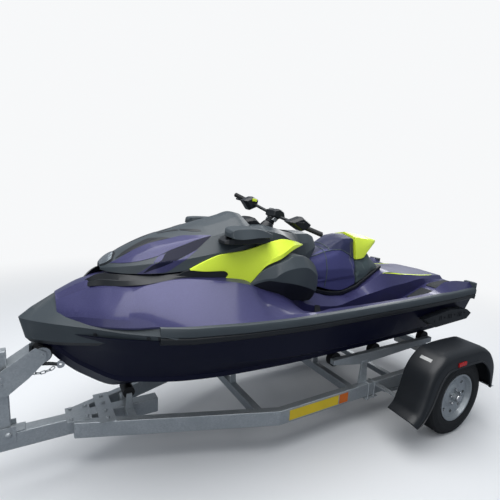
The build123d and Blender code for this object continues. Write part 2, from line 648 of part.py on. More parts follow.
# Jet drive: pump, venturi, ride plate, grate, impeller, nozzle, reverse bucket
PUMP_BORE = 74.0
PUMP_L = 160.0
NOZZLE_PIVOT = 150.0
NOZZLE_PIN_R = 6.0
BUCKET_PIVOT = (150, 150)
BUCKET_PIN_R = 8.0
STATOR_FRONT = 278.0
STATOR_VANES = 6
with BuildPart() as pump_housing:
    with BuildSketch(station(JET_X)):
        with Locations((0, JET_Z)):
            Circle(PUMP_R)
    extrude(amount=-PUMP_L)
    with BuildSketch(station(JET_X - PUMP_L)):
        with Locations((0, JET_Z)):
            Circle(PUMP_R)
    with BuildSketch(station(NOZZLE_PIVOT + 30)):
        with Locations((0, JET_Z)):
            Circle(58)
    loft()
    with BuildSketch(station(JET_X)):
        with Locations((0, JET_Z)):
            Circle(PUMP_BORE)
    extrude(amount=-PUMP_L, mode=Mode.SUBTRACT)
    with BuildSketch(station(JET_X - PUMP_L)):
        with Locations((0, JET_Z)):
            Circle(PUMP_BORE)
    with BuildSketch(station(NOZZLE_PIVOT + 29)):
        with Locations((0, JET_Z)):
            Circle(46)
    loft(mode=Mode.SUBTRACT)
    with BuildSketch(station(STATOR_FRONT)):
        with Locations((0, JET_Z)):
            Circle(24)
    with BuildSketch(station(NOZZLE_PIVOT + 36)):
        with Locations((0, JET_Z)):
            Circle(9)
    loft()
    with BuildSketch(station(STATOR_FRONT - 4)):
        with Locations(Location((0, JET_Z))):
            for vane in range(STATOR_VANES):
                with Locations(Location((0, 0), vane * 360 / STATOR_VANES)):
                    with Locations((48, 0)):
                        Rectangle(56, 5)
    extrude(amount=-30)
    for low, pin_low in ((JET_Z + 58, JET_Z + 46), (JET_Z - 72, JET_Z - 58)):
        with BuildSketch(level(low)):
            with Locations((NOZZLE_PIVOT + 26, 0)):
                Rectangle(96, 40)
        extrude(amount=14)
        with BuildSketch(level(pin_low)):
            with Locations((NOZZLE_PIVOT, 0)):
                Circle(NOZZLE_PIN_R)
        extrude(amount=12)
    for way in (1, -1):
        with BuildSketch(level(BUCKET_PIVOT[1] - 14)):
            with Locations((222, way * 79)):
                Rectangle(24, 46)
            with Locations((184, way * 98)):
                Rectangle(100, 8)
        extrude(amount=28)
        with BuildSketch(Plane(origin=point(BUCKET_PIVOT[0], way * 100, BUCKET_PIVOT[1]), z_dir=(0, way, 0))):
            Circle(BUCKET_PIN_R)
        extrude(amount=12)
pieces["pump_housing"] = pump_housing

# Impeller: a hub on its shaft with blades that wind round it
IMPELLER_X = 330.0
BLADES = 4
BLADE_TIP = 70.0
BLADE_TWIST = 1.1
with BuildPart() as impeller:
    with BuildSketch(station(IMPELLER_X - 45)):
        with Locations((0, JET_Z)):
            Circle(24)
    extrude(amount=90)
    with BuildSketch(station(IMPELLER_X + 45)):
        with Locations((0, JET_Z)):
            Circle(SHAFT_R)
    extrude(amount=SHAFT_SEAL - 2 - IMPELLER_X - 45)
    for blade in range(BLADES):
        for x in (-36, -18, 0, 18, 36):
            turn = blade * 360 / BLADES + BLADE_TWIST * x
            with BuildSketch(station(IMPELLER_X + x)):
                with Locations(Location((0, JET_Z), turn)):
                    with Locations((BLADE_TIP / 2 + 10, 0)):
                        Rectangle(BLADE_TIP - 20, 7)
        loft(ruled=True)
pieces["impeller"] = impeller

with BuildPart() as ride_plate:
    with BuildSketch(station(0)):
        outline([(-160, 60), (-160, 70), (0, 12), (160, 70), (160, 60), (0, 2)])
    extrude(amount=TUNNEL_FRONT)
    add(hull_form.part, mode=Mode.SUBTRACT)
pieces["ride_plate"] = ride_plate

with BuildPart() as intake_grate:
    with BuildSketch(level(8)):
        for y in (-54, -18, 18, 54):
            with Locations(((INTAKE_REAR + INTAKE_FRONT) / 2, y)):
                Rectangle(INTAKE_FRONT - INTAKE_REAR - 16, 8)
        for x in (INTAKE_REAR + 8, INTAKE_FRONT - 8):
            with Locations((x, 0)):
                Rectangle(16, DUCT_WIDTH - 16)
    extrude(amount=16)
    add(hull_form.part, mode=Mode.SUBTRACT)
pieces["intake_grate"] = intake_grate

NOZZLE_L = 140.0
nozzle_axis = Axis(point(NOZZLE_PIVOT, 0, JET_Z), (0, 0, 1))
with BuildPart() as nozzle_straight:
    with BuildSketch(station(NOZZLE_PIVOT + 18)):
        with Locations((0, JET_Z)):
            Circle(50)
    with BuildSketch(station(NOZZLE_PIVOT + 18 - NOZZLE_L)):
        with Locations((0, JET_Z)):
            Circle(42)
    loft()
    with BuildSketch(station(NOZZLE_PIVOT + 19)):
        with Locations((0, JET_Z)):
            Circle(44)
    with BuildSketch(station(NOZZLE_PIVOT + 17 - NOZZLE_L)):
        with Locations((0, JET_Z)):
            Circle(36)
    loft(mode=Mode.SUBTRACT)
    for low, high in ((JET_Z + 45, JET_Z + 57.7), (JET_Z - 57.7, JET_Z - 45)):
        with BuildSketch(level(low)):
            with Locations((NOZZLE_PIVOT, 0)):
                Circle(13)
                Circle(NOZZLE_PIN_R + RUN_FIT, mode=Mode.SUBTRACT)
        extrude(amount=high - low)
    for low in (JET_Z + 42, JET_Z - 60):
        with BuildSketch(level(low)):
            with Locations((NOZZLE_PIVOT, 0)):
                Circle(NOZZLE_PIN_R + RUN_FIT)
        extrude(amount=18, mode=Mode.SUBTRACT)
with BuildPart() as steering_nozzle:
    add(nozzle_straight.part.rotate(nozzle_axis, NOZZLE_RATIO * REST_STEER))
pieces["steering_nozzle"] = steering_nozzle

# Reverse bucket: cheeks on the pivots and a curved back, stowed above the jet
BUCKET_R = 185.0
BUCKET_WALL = 8.0
BUCKET_LOW = 28.0
BUCKET_HIGH = 78.0
CHEEK_Y = 104.0


def bucket_point(r, turn):
    """Point at radius r from the bucket's pivot, turn degrees up from straight aft."""
    return (BUCKET_PIVOT[0] - r * cos(radians(turn)), BUCKET_PIVOT[1] + r * sin(radians(turn)))


with BuildPart() as reverse_bucket:
    mid = (BUCKET_LOW + BUCKET_HIGH) / 2
    out_r = BUCKET_R + BUCKET_WALL
    with BuildSketch(side()):
        with BuildLine():
            ThreePointArc(bucket_point(BUCKET_R, BUCKET_LOW), bucket_point(BUCKET_R, mid), bucket_point(BUCKET_R, BUCKET_HIGH))
            Line(bucket_point(BUCKET_R, BUCKET_HIGH), bucket_point(out_r, BUCKET_HIGH))
            ThreePointArc(bucket_point(out_r, BUCKET_HIGH), bucket_point(out_r, mid), bucket_point(out_r, BUCKET_LOW))
            Line(bucket_point(out_r, BUCKET_LOW), bucket_point(BUCKET_R, BUCKET_LOW))
        make_face()
    extrude(amount=CHEEK_Y + BUCKET_WALL, both=True)
    for y in (CHEEK_Y + BUCKET_WALL, -CHEEK_Y):
        with BuildSketch(side(y)):
            with BuildLine():
                ThreePointArc(bucket_point(out_r, BUCKET_HIGH), bucket_point(out_r, mid), bucket_point(out_r, BUCKET_LOW))
                Line(bucket_point(out_r, BUCKET_LOW), bucket_point(20, BUCKET_LOW - 70))
                Line(bucket_point(20, BUCKET_LOW - 70), bucket_point(20, BUCKET_LOW + 140))
                Line(bucket_point(20, BUCKET_LOW + 140), bucket_point(out_r, BUCKET_HIGH))
            make_face()
            with Locations(BUCKET_PIVOT):
                Circle(18)
            with Locations(BUCKET_PIVOT):
                Circle(BUCKET_PIN_R + RUN_FIT, mode=Mode.SUBTRACT)
        extrude(amount=BUCKET_WALL)
pieces["reverse_bucket"] = reverse_bucket

# Handlebar, built straight ahead and turned to port about the raked column
with BuildPart() as bar_straight:
    with BuildSketch(bar_plane.offset(-COLUMN_L)):
        Circle(COLUMN_R)
    extrude(amount=COLUMN_L)
    with BuildLine() as bar_line:
        Polyline(
            point(STEER_X - 20, -390, STEER_Z + 4),
            point(STEER_X, -190, STEER_Z + 6),
            point(STEER_X + 10, 0, STEER_Z),
            point(STEER_X, 190, STEER_Z + 6),
            point(STEER_X - 20, 390, STEER_Z + 4),
        )
    with BuildSketch(Plane(origin=bar_line.line @ 0, z_dir=bar_line.line % 0)):
        Circle(11)
    sweep(transition=Transition.ROUND)
with BuildPart() as handlebar:
    add(bar_straight.part.rotate(steer_axis, REST_STEER))
pieces["handlebar"] = handlebar

with BuildPart() as grips_straight:
    for way in (1, -1):
        with BuildSketch(Plane(origin=point(STEER_X - 6, way * 250, STEER_Z + 5), z_dir=(-0.1, way, 0))):
            Circle(17)
        extrude(amount=135)
    add(bar_straight.part, mode=Mode.SUBTRACT)
with BuildPart() as grips:
    add(grips_straight.part.rotate(steer_axis, REST_STEER))
pieces["grips"] = grips

with BuildPart() as pods_straight:
    with BuildSketch(bar_plane):
        RectangleRounded(180, 90, 25)
    extrude(amount=50)
    for way in (1, -1):
        with BuildSketch(bar_plane.offset(-22)):
            with Locations((way * 200, 0)):
                RectangleRounded(80, 70, 18)
        extrude(amount=44)
    add(bar_straight.part, mode=Mode.SUBTRACT)
with BuildPart() as control_pods:
    add(pods_straight.part.rotate(steer_axis, REST_STEER))
pieces["control_pods"] = control_pods

# Mirrors: faceted housings on the hood's rear shoulders, each on a low foot.
# station, then y and z of outer low, outer high, inner high and inner low corner
MIRROR = [
    (2236, 372, 990, 366, 1012, 300, 1016, 296, 992),
    (2160, 400, 977, 366, 1036, 240, 1040, 232, 980),
    (2050, 382, 980, 356, 1032, 225, 1036, 218, 978),
    (1970, 356, 974, 342, 1012, 222, 1014, 216, 968),
    (1920, 336, 972, 330, 991, 225, 992, 220, 966),
]
MIRROR_FOOT = [
    (2252, 325, 944, 320, 992, 240, 992, 240, 944),
    (2190, 352, 942, 350, 992, 215, 992, 215, 942),
    (2000, 345, 940, 342, 992, 205, 992, 205, 940),
    (1928, 322, 942, 318, 976, 205, 976, 205, 942),
]
with BuildPart() as mirrors:
    for table in (MIRROR, MIRROR_FOOT):
        for x, ay, az, by, bz, cy, cz, dy, dz in table:
            with BuildSketch(station(x)):
                outline([(ay, az), (by, bz), (cy, cz), (dy, dz)])
        loft(ruled=True)
    add(hood_form.part, mode=Mode.SUBTRACT)
    mirror(about=Plane.XZ)
pieces["mirrors"] = mirrors

# Eyes of stainless plate: one on the stem, two on the transom
EYE_R = 9.0
BOW_EYE = (3110, 225)
with BuildPart() as eyes:
    with BuildSketch(side(6)):
        with Locations(BOW_EYE):
            Circle(22)
    extrude(amount=12)
    with BuildSketch(side(6)):
        with Locations(BOW_EYE):
            Circle(EYE_R)
    extrude(amount=12, mode=Mode.SUBTRACT)
    for y in (430, -418):
        with BuildSketch(side(y)):
            with Locations((-12, 400)):
                Circle(22)
            with Locations((-12, 400)):
                Circle(EYE_R, mode=Mode.SUBTRACT)
        extrude(amount=12)
    add(hull_form.part, mode=Mode.SUBTRACT)
pieces["eyes"] = eyes

# Trailer frame. Heights here are above the ground.
RAIL_TOP = 332.0
BEAM_H = 100.0
BEAM_W = 50.0
RAIL_Y = 490.0
RAIL_REAR = -60.0
RAIL_BEND = 1900.0
DRAW_W = 75.0
DRAW_REAR = 2550.0
DRAW_FRONT = 4330.0
MEET_X = 3060.0


def ground(z):
    """Level plane at a height above the ground: sketch axes forward from the stern and port."""
    return Plane(origin=(STERN, 0, z), x_dir=(1, 0, 0), z_dir=(0, 0, 1))


with BuildPart() as drawbar:
    with BuildSketch(ground(RAIL_TOP - BEAM_H)):
        with Locations(((DRAW_REAR + DRAW_FRONT) / 2, 0)):
            Rectangle(DRAW_FRONT - DRAW_REAR, DRAW_W)
    extrude(amount=BEAM_H)
pieces["drawbar"] = drawbar

meet_y = DRAW_W / 2 + BEAM_W / 2
lean = atan2(RAIL_Y - meet_y, MEET_X - RAIL_BEND)
mitre = BEAM_W / 2 * tan(lean / 2)
across = BEAM_W / 2 / cos(lean)
with BuildPart() as side_rails:
    with BuildSketch(ground(RAIL_TOP - BEAM_H)):
        outline([
            (RAIL_REAR, RAIL_Y - BEAM_W / 2),
            (RAIL_REAR, RAIL_Y + BEAM_W / 2),
            (RAIL_BEND + mitre, RAIL_Y + BEAM_W / 2),
            (MEET_X, meet_y + across),
            (MEET_X, DRAW_W / 2),
            (RAIL_BEND - mitre, RAIL_Y - BEAM_W / 2),
        ])
    extrude(amount=BEAM_H)
    add(drawbar.part, mode=Mode.SUBTRACT)
    mirror(about=Plane.XZ)
pieces["side_rails"] = side_rails

CROSS_H = 60.0
CROSS_X = (0.0, 1250.0, 2010.0)
FRONT_CROSS_X = 2740.0
with BuildPart() as cross_members:
    for x in CROSS_X + (FRONT_CROSS_X,):
        with BuildSketch(ground(RAIL_TOP - CROSS_H - 10)):
            with Locations((x, 0)):
                Rectangle(BEAM_W, 2 * RAIL_Y)
        extrude(amount=CROSS_H)
    add(side_rails.part, mode=Mode.SUBTRACT)
    add(drawbar.part, mode=Mode.SUBTRACT)
inner_y = RAIL_Y - BEAM_W / 2
with BuildPart() as cross_trimmed:
    add(cross_members.part)
    with BuildSketch(ground(0)):
        outline([
            (RAIL_REAR, inner_y), (RAIL_BEND - mitre, inner_y), (MEET_X, DRAW_W / 2), (MEET_X, -DRAW_W / 2),
            (RAIL_BEND - mitre, -inner_y), (RAIL_REAR, -inner_y),
        ])
    extrude(amount=600, mode=Mode.INTERSECT)
pieces["cross_members"] = cross_trimmed

# Coupling for a 50 mm ball, on the drawbar's nose
BALL_R = 25.0
BALL_X = 4520.0
BALL_Z = 340.0
with BuildPart() as coupling:
    with BuildSketch(ground(RAIL_TOP)):
        with Locations((DRAW_FRONT - 60, 0)):
            Rectangle(180, DRAW_W)
    extrude(amount=12)
    with BuildSketch(ground(RAIL_TOP - 16)):
        with Locations((DRAW_FRONT + 80, 0)):
            Rectangle(160, 70)
        with Locations((BALL_X, 0)):
            Circle(48)
    extrude(amount=62)
    with BuildSketch(ground(RAIL_TOP - 20)):
        with Locations((BALL_X, 0)):
            Circle(BALL_R + 0.5)
    extrude(amount=48, mode=Mode.SUBTRACT)
pieces["coupling"] = coupling

# Winch post, arm and bow roller
POST_X = 3400.0
ROLLER_PIN_R = 8.0
with BuildPart() as winch_post:
    with BuildSketch(ground(RAIL_TOP)):
        with Locations((POST_X, 0)):
            Rectangle(60, 60)
    extrude(amount=480)
    with BuildSketch(ground(RAIL_TOP)):
        with Locations((POST_X, 0)):
            Rectangle(200, DRAW_W)
    extrude(amount=10)
pieces["winch_post"] = winch_post

with BuildPart() as winch:
    with BuildSketch(side(60)):
        with Locations((POST_X + 80, 300)):
            Circle(42)
    extrude(amount=120)
    with BuildSketch(station(POST_X + 30)):
        with Locations((0, 300)):
            Rectangle(120, 90)
    extrude(amount=30)
pieces["winch"] = winch

ROLLER_X = 3200.0
ROLLER_Z = 322.0
ROLLER_WAIST = 28.0
ROLLER_BELL = 50.0
ARM_Y = 62.0
ARM_T = 6.0
with BuildPart() as bow_roller:
    with BuildSketch(Plane(origin=point(ROLLER_X, 0, ROLLER_Z), x_dir=(0, 1, 0), z_dir=(1, 0, 0))):
        outline([(-55, 0), (-55, 44), (-46, ROLLER_BELL), (-32, ROLLER_BELL - 4), (-12, ROLLER_WAIST), (12, ROLLER_WAIST),
                 (32, ROLLER_BELL - 4), (46, ROLLER_BELL), (55, 44), (55, 0)])
    revolve(axis=Axis(point(ROLLER_X, 0, ROLLER_Z), (0, 1, 0)))
    with BuildSketch(side(ARM_Y + 4)):
        with Locations((ROLLER_X, ROLLER_Z)):
            Circle(ROLLER_PIN_R)
    extrude(amount=2 * ARM_Y + 8)
    add(hull_form.part, mode=Mode.SUBTRACT)
    for y in (ARM_Y, ARM_T - ARM_Y):
        with BuildSketch(side(y)):
            outline([
                (POST_X - 30, 125), (3265, 207), (ROLLER_X - 22, 294), (ROLLER_X - 18, 340), (ROLLER_X + 32, 371),
                (POST_X, 266), (POST_X + 30, 262), (POST_X + 30, 125),
            ])
        extrude(amount=ARM_T)
    with BuildSketch(side(ARM_Y)):
        outline([(3262, 351), (POST_X - 30, 284), (POST_X - 30, 278), (3262, 345)])
    extrude(amount=2 * ARM_Y)
    for x, z in ((3342, 284), (3320, 250)):
        with BuildSketch(side(ARM_Y + 8)):
            with Locations((POST_X, z - 60)):
                RegularPolygon(11, 6)
        extrude(amount=2 * ARM_Y + 16)
    add(winch_post.part, mode=Mode.SUBTRACT)
pieces["bow_roller"] = bow_roller

# Keel rollers and brackets
KEEL_ROLLERS = (1250.0, 2010.0, 2740.0)
ROLLER_R = 36.0
with BuildPart() as keel_rollers:
    for x in KEEL_ROLLERS:
        with BuildSketch(side(55)):
            with Locations((x, hull_bottom(x, 0) - ROLLER_R - SEAT_GAP)):
                Circle(ROLLER_R)
        extrude(amount=110)
        with BuildSketch(side(56)):
            with Locations((x, hull_bottom(x, 0) - ROLLER_R - SEAT_GAP)):
                Circle(ROLLER_PIN_R)
        extrude(amount=112)
    add(hull_form.part, mode=Mode.SUBTRACT)
pieces["keel_rollers"] = keel_rollers
with BuildPart() as roller_brackets:
    for x in KEEL_ROLLERS:
        for y in (64, -56):
            with BuildSketch(side(y)):
                outline([
                    (x - 25, RAIL_TOP - 10 - KEEL), (x + 25, RAIL_TOP - 10 - KEEL),
                    (x + 16, -ROLLER_R + 14), (x - 16, -ROLLER_R + 14),
                ])
            extrude(amount=8)
    add(drawbar.part, mode=Mode.SUBTRACT)
pieces["roller_brackets"] = roller_brackets

# Rocking side-roller beams
AXLE_X = 605.0
WHEEL_Z = 290.0
ROCK_Y = 418.0
ROCK_X = 1150.0
SIDE_ROLLER_R = 50.0
SIDE_ROLLER_W = 44.0
SIDE_ROLLERS = (1400.0, 1000.0, 420.0)
ROCK_BEAM_Y = ROCK_Y + SIDE_ROLLER_W / 2 + 1
ROCK_BEAM_W = 40.0
with BuildPart() as side_rollers:
    for x in SIDE_ROLLERS:
        roll_z = hull_bottom(x, ROCK_Y - SIDE_ROLLER_W / 2) - SIDE_ROLLER_R - SEAT_GAP
        with BuildSketch(side(ROCK_Y + SIDE_ROLLER_W / 2)):
            with Locations((x, roll_z)):
                Circle(SIDE_ROLLER_R)
        extrude(amount=SIDE_ROLLER_W)
        with BuildSketch(side(ROCK_BEAM_Y)):
            with Locations((x, roll_z)):
                Circle(ROLLER_PIN_R)
        extrude(amount=4)
    add(hull_form.part, mode=Mode.SUBTRACT)
    mirror(about=Plane.XZ)
pieces["side_rollers"] = side_rollers
with BuildPart() as rocker_beams:
    with BuildSketch(side(ROCK_BEAM_Y + ROCK_BEAM_W)):
        outline([(380, 70), (380, 110), (1450, 120), (1450, 85), (1190, 40), (1110, 40)])
    extrude(amount=ROCK_BEAM_W)
    with BuildSketch(side(RAIL_Y - 5)):
        foot = RAIL_TOP - KEEL
        outline([(ROCK_X - 40, foot), (ROCK_X + 40, foot), (ROCK_X + 24, 60), (ROCK_X - 24, 60)])
    extrude(amount=16)
    add(hull_form.part, mode=Mode.SUBTRACT)
    mirror(about=Plane.XZ)
pieces["rocker_beams"] = rocker_beams

# Cranked axle with its spindles, springs, hubs and wheels
AXLE_Z = 165.0
AXLE_S = 45.0
WHEEL_Y = 813.0
SPINDLE_R = 15.0
with BuildPart() as axle:
    with BuildSketch(Plane(origin=(STERN + AXLE_X, 0, AXLE_Z), x_dir=(1, 0, 0), z_dir=(0, 1, 0))):
        Rectangle(AXLE_S, AXLE_S)
    extrude(amount=690, both=True)
    for way in (1, -1):
        with BuildSketch(Plane(origin=(STERN + AXLE_X, way * 668, 0), x_dir=(1, 0, 0), z_dir=(0, 0, 1))):
            Rectangle(AXLE_S, 44)
        extrude(amount=WHEEL_Z + 24, mode=Mode.ADD)
        with BuildSketch(Plane(origin=(STERN + AXLE_X, way * 680, WHEEL_Z), z_dir=(0, way, 0))):
            Circle(SPINDLE_R)
        extrude(amount=170)
    with BuildSketch(Plane.XY):
        with Locations((STERN + AXLE_X, 0)):
            Rectangle(200, 2000)
    extrude(amount=AXLE_Z - AXLE_S / 2, mode=Mode.SUBTRACT)
pieces["axle"] = axle

SPRING_HALF = 330.0
with BuildPart() as leaf_springs:
    with BuildSketch(Plane(origin=(STERN + AXLE_X, RAIL_Y + 25, 0), x_dir=(1, 0, 0), z_dir=(0, -1, 0))):
        with BuildLine():
            ThreePointArc((-SPRING_HALF, 218), (0, AXLE_Z + AXLE_S / 2), (SPRING_HALF, 218))
            Line((SPRING_HALF, 218), (SPRING_HALF, RAIL_TOP - BEAM_H))
            Line((SPRING_HALF, RAIL_TOP - BEAM_H), (SPRING_HALF - 40, RAIL_TOP - BEAM_H))
            ThreePointArc((SPRING_HALF - 40, RAIL_TOP - BEAM_H), (0, AXLE_Z + AXLE_S / 2 + 22), (-SPRING_HALF + 40, RAIL_TOP - BEAM_H))
            Line((-SPRING_HALF + 40, RAIL_TOP - BEAM_H), (-SPRING_HALF, RAIL_TOP - BEAM_H))
            Line((-SPRING_HALF, RAIL_TOP - BEAM_H), (-SPRING_HALF, 218))
        make_face()
    extrude(amount=50)
    mirror(about=Plane.XZ)
pieces["leaf_springs"] = leaf_springs

TYRE_R = 290.0
TYRE_W = 155.0
RIM_R = 165.0
DISC_HOLES_R = 125.0


def wheel_section(way):
    """Half-plane through a wheel's axis: sketch axes outward along the axle and out from its centre."""
    return Plane(origin=(STERN + AXLE_X, way * WHEEL_Y, WHEEL_Z), x_dir=(0, way, 0), z_dir=(0, 0, -way))


wheels = {}
for name, way in (("port", 1), ("starboard", -1)):
    turn_axis = Axis((STERN + AXLE_X, 0, WHEEL_Z), (0, 1, 0))
    with BuildPart() as rim:
        with BuildSketch(wheel_section(way)):
            outline([
                (-70, RIM_R), (-70, RIM_R + 13), (-64, RIM_R + 13), (-64, RIM_R), (64, RIM_R), (64, RIM_R + 13),
                (70, RIM_R + 13), (70, RIM_R), (40, RIM_R - 10), (32, 90), (44, 70), (44, 34), (78, 30), (78, 0),
                (64, 0), (64, SPINDLE_R + RUN_FIT), (-60, SPINDLE_R + RUN_FIT), (-60, 38), (20, 42), (22, 90),
                (30, RIM_R - 10), (-60, RIM_R - 8),
            ])
        revolve(axis=turn_axis)
        with BuildSketch(Plane(origin=(STERN + AXLE_X, way * WHEEL_Y, WHEEL_Z), z_dir=(0, way, 0))):
            with PolarLocations(DISC_HOLES_R, 8):
                Circle(13)
        extrude(amount=60, mode=Mode.SUBTRACT)
    pieces["rim_" + name] = rim
    with BuildPart() as tyre:
        with BuildSketch(wheel_section(way)):
            outline([
                (-63.9, RIM_R), (-63.9, RIM_R + 14), (-75, 200), (-77.5, 235), (-68, 275), (-52, TYRE_R), (52, TYRE_R),
                (68, 275), (77.5, 235), (75, 200), (63.9, RIM_R + 14), (63.9, RIM_R),
            ])
        revolve(axis=turn_axis)
    pieces["tyre_" + name] = tyre

# Mudguards with their arms
GUARD_IN = 702.0
GUARD_OUT = 925.0
with BuildPart() as mudguards:
    with BuildSketch(Plane(origin=(STERN + AXLE_X, GUARD_OUT, WHEEL_Z), x_dir=(1, 0, 0), z_dir=(0, -1, 0))):
        outline([
            (-400, 20), (-385, 180), (-290, 330), (-150, 378), (220, 378), (380, 260), (440, 60), (520, -20), (500, -40),
            (415, 20), (355, 230), (205, 352), (-145, 352), (-265, 305), (-355, 165), (-370, 20),
        ])
    extrude(amount=GUARD_OUT - GUARD_IN)
    mirror(about=Plane.XZ)
pieces["mudguards"] = mudguards
with BuildPart() as guard_arms:
    for x in (-378, 430):
        with BuildSketch(Plane(origin=(STERN + AXLE_X + x, RAIL_Y + BEAM_W / 2, 0), x_dir=(1, 0, 0), z_dir=(0, 1, 0))):
            with Locations((0, -(RAIL_TOP - 20))):
                Rectangle(40, 8)
        extrude(amount=GUARD_OUT - RAIL_Y - BEAM_W / 2)
    add(mudguards.part, mode=Mode.SUBTRACT)
    mirror(about=Plane.XZ)
pieces["guard_arms"] = guard_arms

# Lights and number plate on the rear cross member
with BuildPart() as tail_lights:
    with BuildSketch(Plane(origin=(STERN + RAIL_REAR, RAIL_Y, RAIL_TOP - BEAM_H / 2), x_dir=(0, 1, 0), z_dir=(-1, 0, 0))):
        RectangleRounded(150, 90, 10)
    extrude(amount=36)
    mirror(about=Plane.XZ)
pieces["tail_lights"] = tail_lights
with BuildPart() as number_plate:
    with BuildSketch(Plane(origin=(STERN - 25, 0, RAIL_TOP - 80), x_dir=(0, 1, 0), z_dir=(-1, 0, 0))):
        RectangleRounded(370, 134, 10)
    extrude(amount=3)
pieces["number_plate"] = number_plate

# Jockey wheel: bracket on the drawbar's port side, swinging tube, sliding stem, castor fork, wheel
JOCKEY_X = 4050.0
JOCKEY_Y = 152.0
PIVOT_Z = 282.0
TUBE_R = 24.0
TUBE_LOW = 245.0
STEM_R = 20.0
JOCKEY_R = 75.0
TRAIL = 25.0


def jockey_level(z):
    """Level plane at a height above the ground, centred on the jockey tube."""
    return Plane(origin=(STERN + JOCKEY_X, JOCKEY_Y, z), x_dir=(1, 0, 0), z_dir=(0, 0, 1))


with BuildPart() as jockey_bracket:
    with BuildSketch(Plane(origin=(STERN + JOCKEY_X, DRAW_W / 2, PIVOT_Z), x_dir=(1, 0, 0), z_dir=(0, 1, 0))):
        Rectangle(120, 90)
    extrude(amount=8)
    with BuildSketch(Plane(origin=(STERN + JOCKEY_X, DRAW_W / 2, PIVOT_Z), x_dir=(1, 0, 0), z_dir=(0, 1, 0))):
        Circle(16)
    extrude(amount=60)
pieces["jockey_bracket"] = jockey_bracket
with BuildPart() as jockey_tube:
    with BuildSketch(jockey_level(TUBE_LOW)):
        Circle(TUBE_R)
        Circle(STEM_R + RUN_FIT, mode=Mode.SUBTRACT)
    extrude(amount=600 - TUBE_LOW)
    with BuildSketch(jockey_level(600)):
        Circle(TUBE_R + 3)
    extrude(amount=14)
    with BuildSketch(Plane(origin=(STERN + JOCKEY_X, DRAW_W / 2 + 14, PIVOT_Z), x_dir=(1, 0, 0), z_dir=(0, 1, 0))):
        Circle(32)
    extrude(amount=JOCKEY_Y - DRAW_W / 2 - 14)
    with BuildSketch(Plane(origin=(STERN + JOCKEY_X, DRAW_W / 2 + 14, PIVOT_Z), x_dir=(1, 0, 0), z_dir=(0, 1, 0))):
        Circle(16 + RUN_FIT)
    extrude(amount=50, mode=Mode.SUBTRACT)
    with BuildSketch(jockey_level(TUBE_LOW)):
        Circle(STEM_R + RUN_FIT)
    extrude(amount=600 - TUBE_LOW, mode=Mode.SUBTRACT)
pieces["jockey_tube"] = jockey_tube
with BuildPart() as jockey_stem:
    with BuildSketch(jockey_level(175)):
        Circle(STEM_R)
    extrude(amount=380)
    with BuildSketch(jockey_level(175)):
        Circle(9 + RUN_FIT)
    extrude(amount=40, mode=Mode.SUBTRACT)
pieces["jockey_stem"] = jockey_stem
with BuildPart() as jockey_fork:
    with BuildSketch(jockey_level(165)):
        with Locations((-TRAIL / 2, 0)):
            RectangleRounded(70, 66, 8)
    extrude(amount=9)
    with BuildSketch(jockey_level(174)):
        Circle(9)
    extrude(amount=28)
    for y in (30, -26):
        with BuildSketch(Plane(origin=(STERN + JOCKEY_X - TRAIL, JOCKEY_Y + y, JOCKEY_R), x_dir=(1, 0, 0), z_dir=(0, -1, 0))):
            outline([(-12, -12), (12, -12), (34, 90), (-8, 90)])
        extrude(amount=4)
    with BuildSketch(Plane(origin=(STERN + JOCKEY_X - TRAIL, JOCKEY_Y + 30, JOCKEY_R), x_dir=(1, 0, 0), z_dir=(0, -1, 0))):
        Circle(6)
    extrude(amount=60)
pieces["jockey_fork"] = jockey_fork
with BuildPart() as jockey_wheel:
    with BuildSketch(Plane(origin=(STERN + JOCKEY_X - TRAIL, JOCKEY_Y + 22, JOCKEY_R), x_dir=(1, 0, 0), z_dir=(0, -1, 0))):
        Circle(JOCKEY_R)
        Circle(6 + RUN_FIT, mode=Mode.SUBTRACT)
    extrude(amount=44)
pieces["jockey_wheel"] = jockey_wheel

for name, piece in pieces.items():
    piece.part.label = name
    export_step(piece.part, f"parts/{name}.step")
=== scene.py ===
import json
from math import cos, pi, radians, sin

import bmesh
import bpy
import numpy as np
from mathutils import Matrix, Vector


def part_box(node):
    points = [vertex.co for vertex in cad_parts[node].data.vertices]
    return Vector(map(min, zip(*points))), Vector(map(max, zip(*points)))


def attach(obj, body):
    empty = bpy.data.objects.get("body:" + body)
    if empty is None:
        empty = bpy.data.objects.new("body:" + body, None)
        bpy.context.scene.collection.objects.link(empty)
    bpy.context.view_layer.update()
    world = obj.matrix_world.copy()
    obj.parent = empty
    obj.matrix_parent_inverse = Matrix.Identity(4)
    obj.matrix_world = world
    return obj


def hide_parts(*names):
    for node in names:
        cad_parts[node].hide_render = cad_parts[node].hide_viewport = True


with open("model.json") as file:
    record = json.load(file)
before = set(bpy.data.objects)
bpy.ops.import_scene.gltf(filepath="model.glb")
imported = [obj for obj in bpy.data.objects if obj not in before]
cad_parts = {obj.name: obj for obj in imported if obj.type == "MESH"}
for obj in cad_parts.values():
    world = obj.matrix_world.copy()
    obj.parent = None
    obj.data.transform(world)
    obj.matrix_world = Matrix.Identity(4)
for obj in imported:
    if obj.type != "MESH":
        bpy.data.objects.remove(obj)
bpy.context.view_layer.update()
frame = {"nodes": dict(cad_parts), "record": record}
nodes = frame["nodes"]

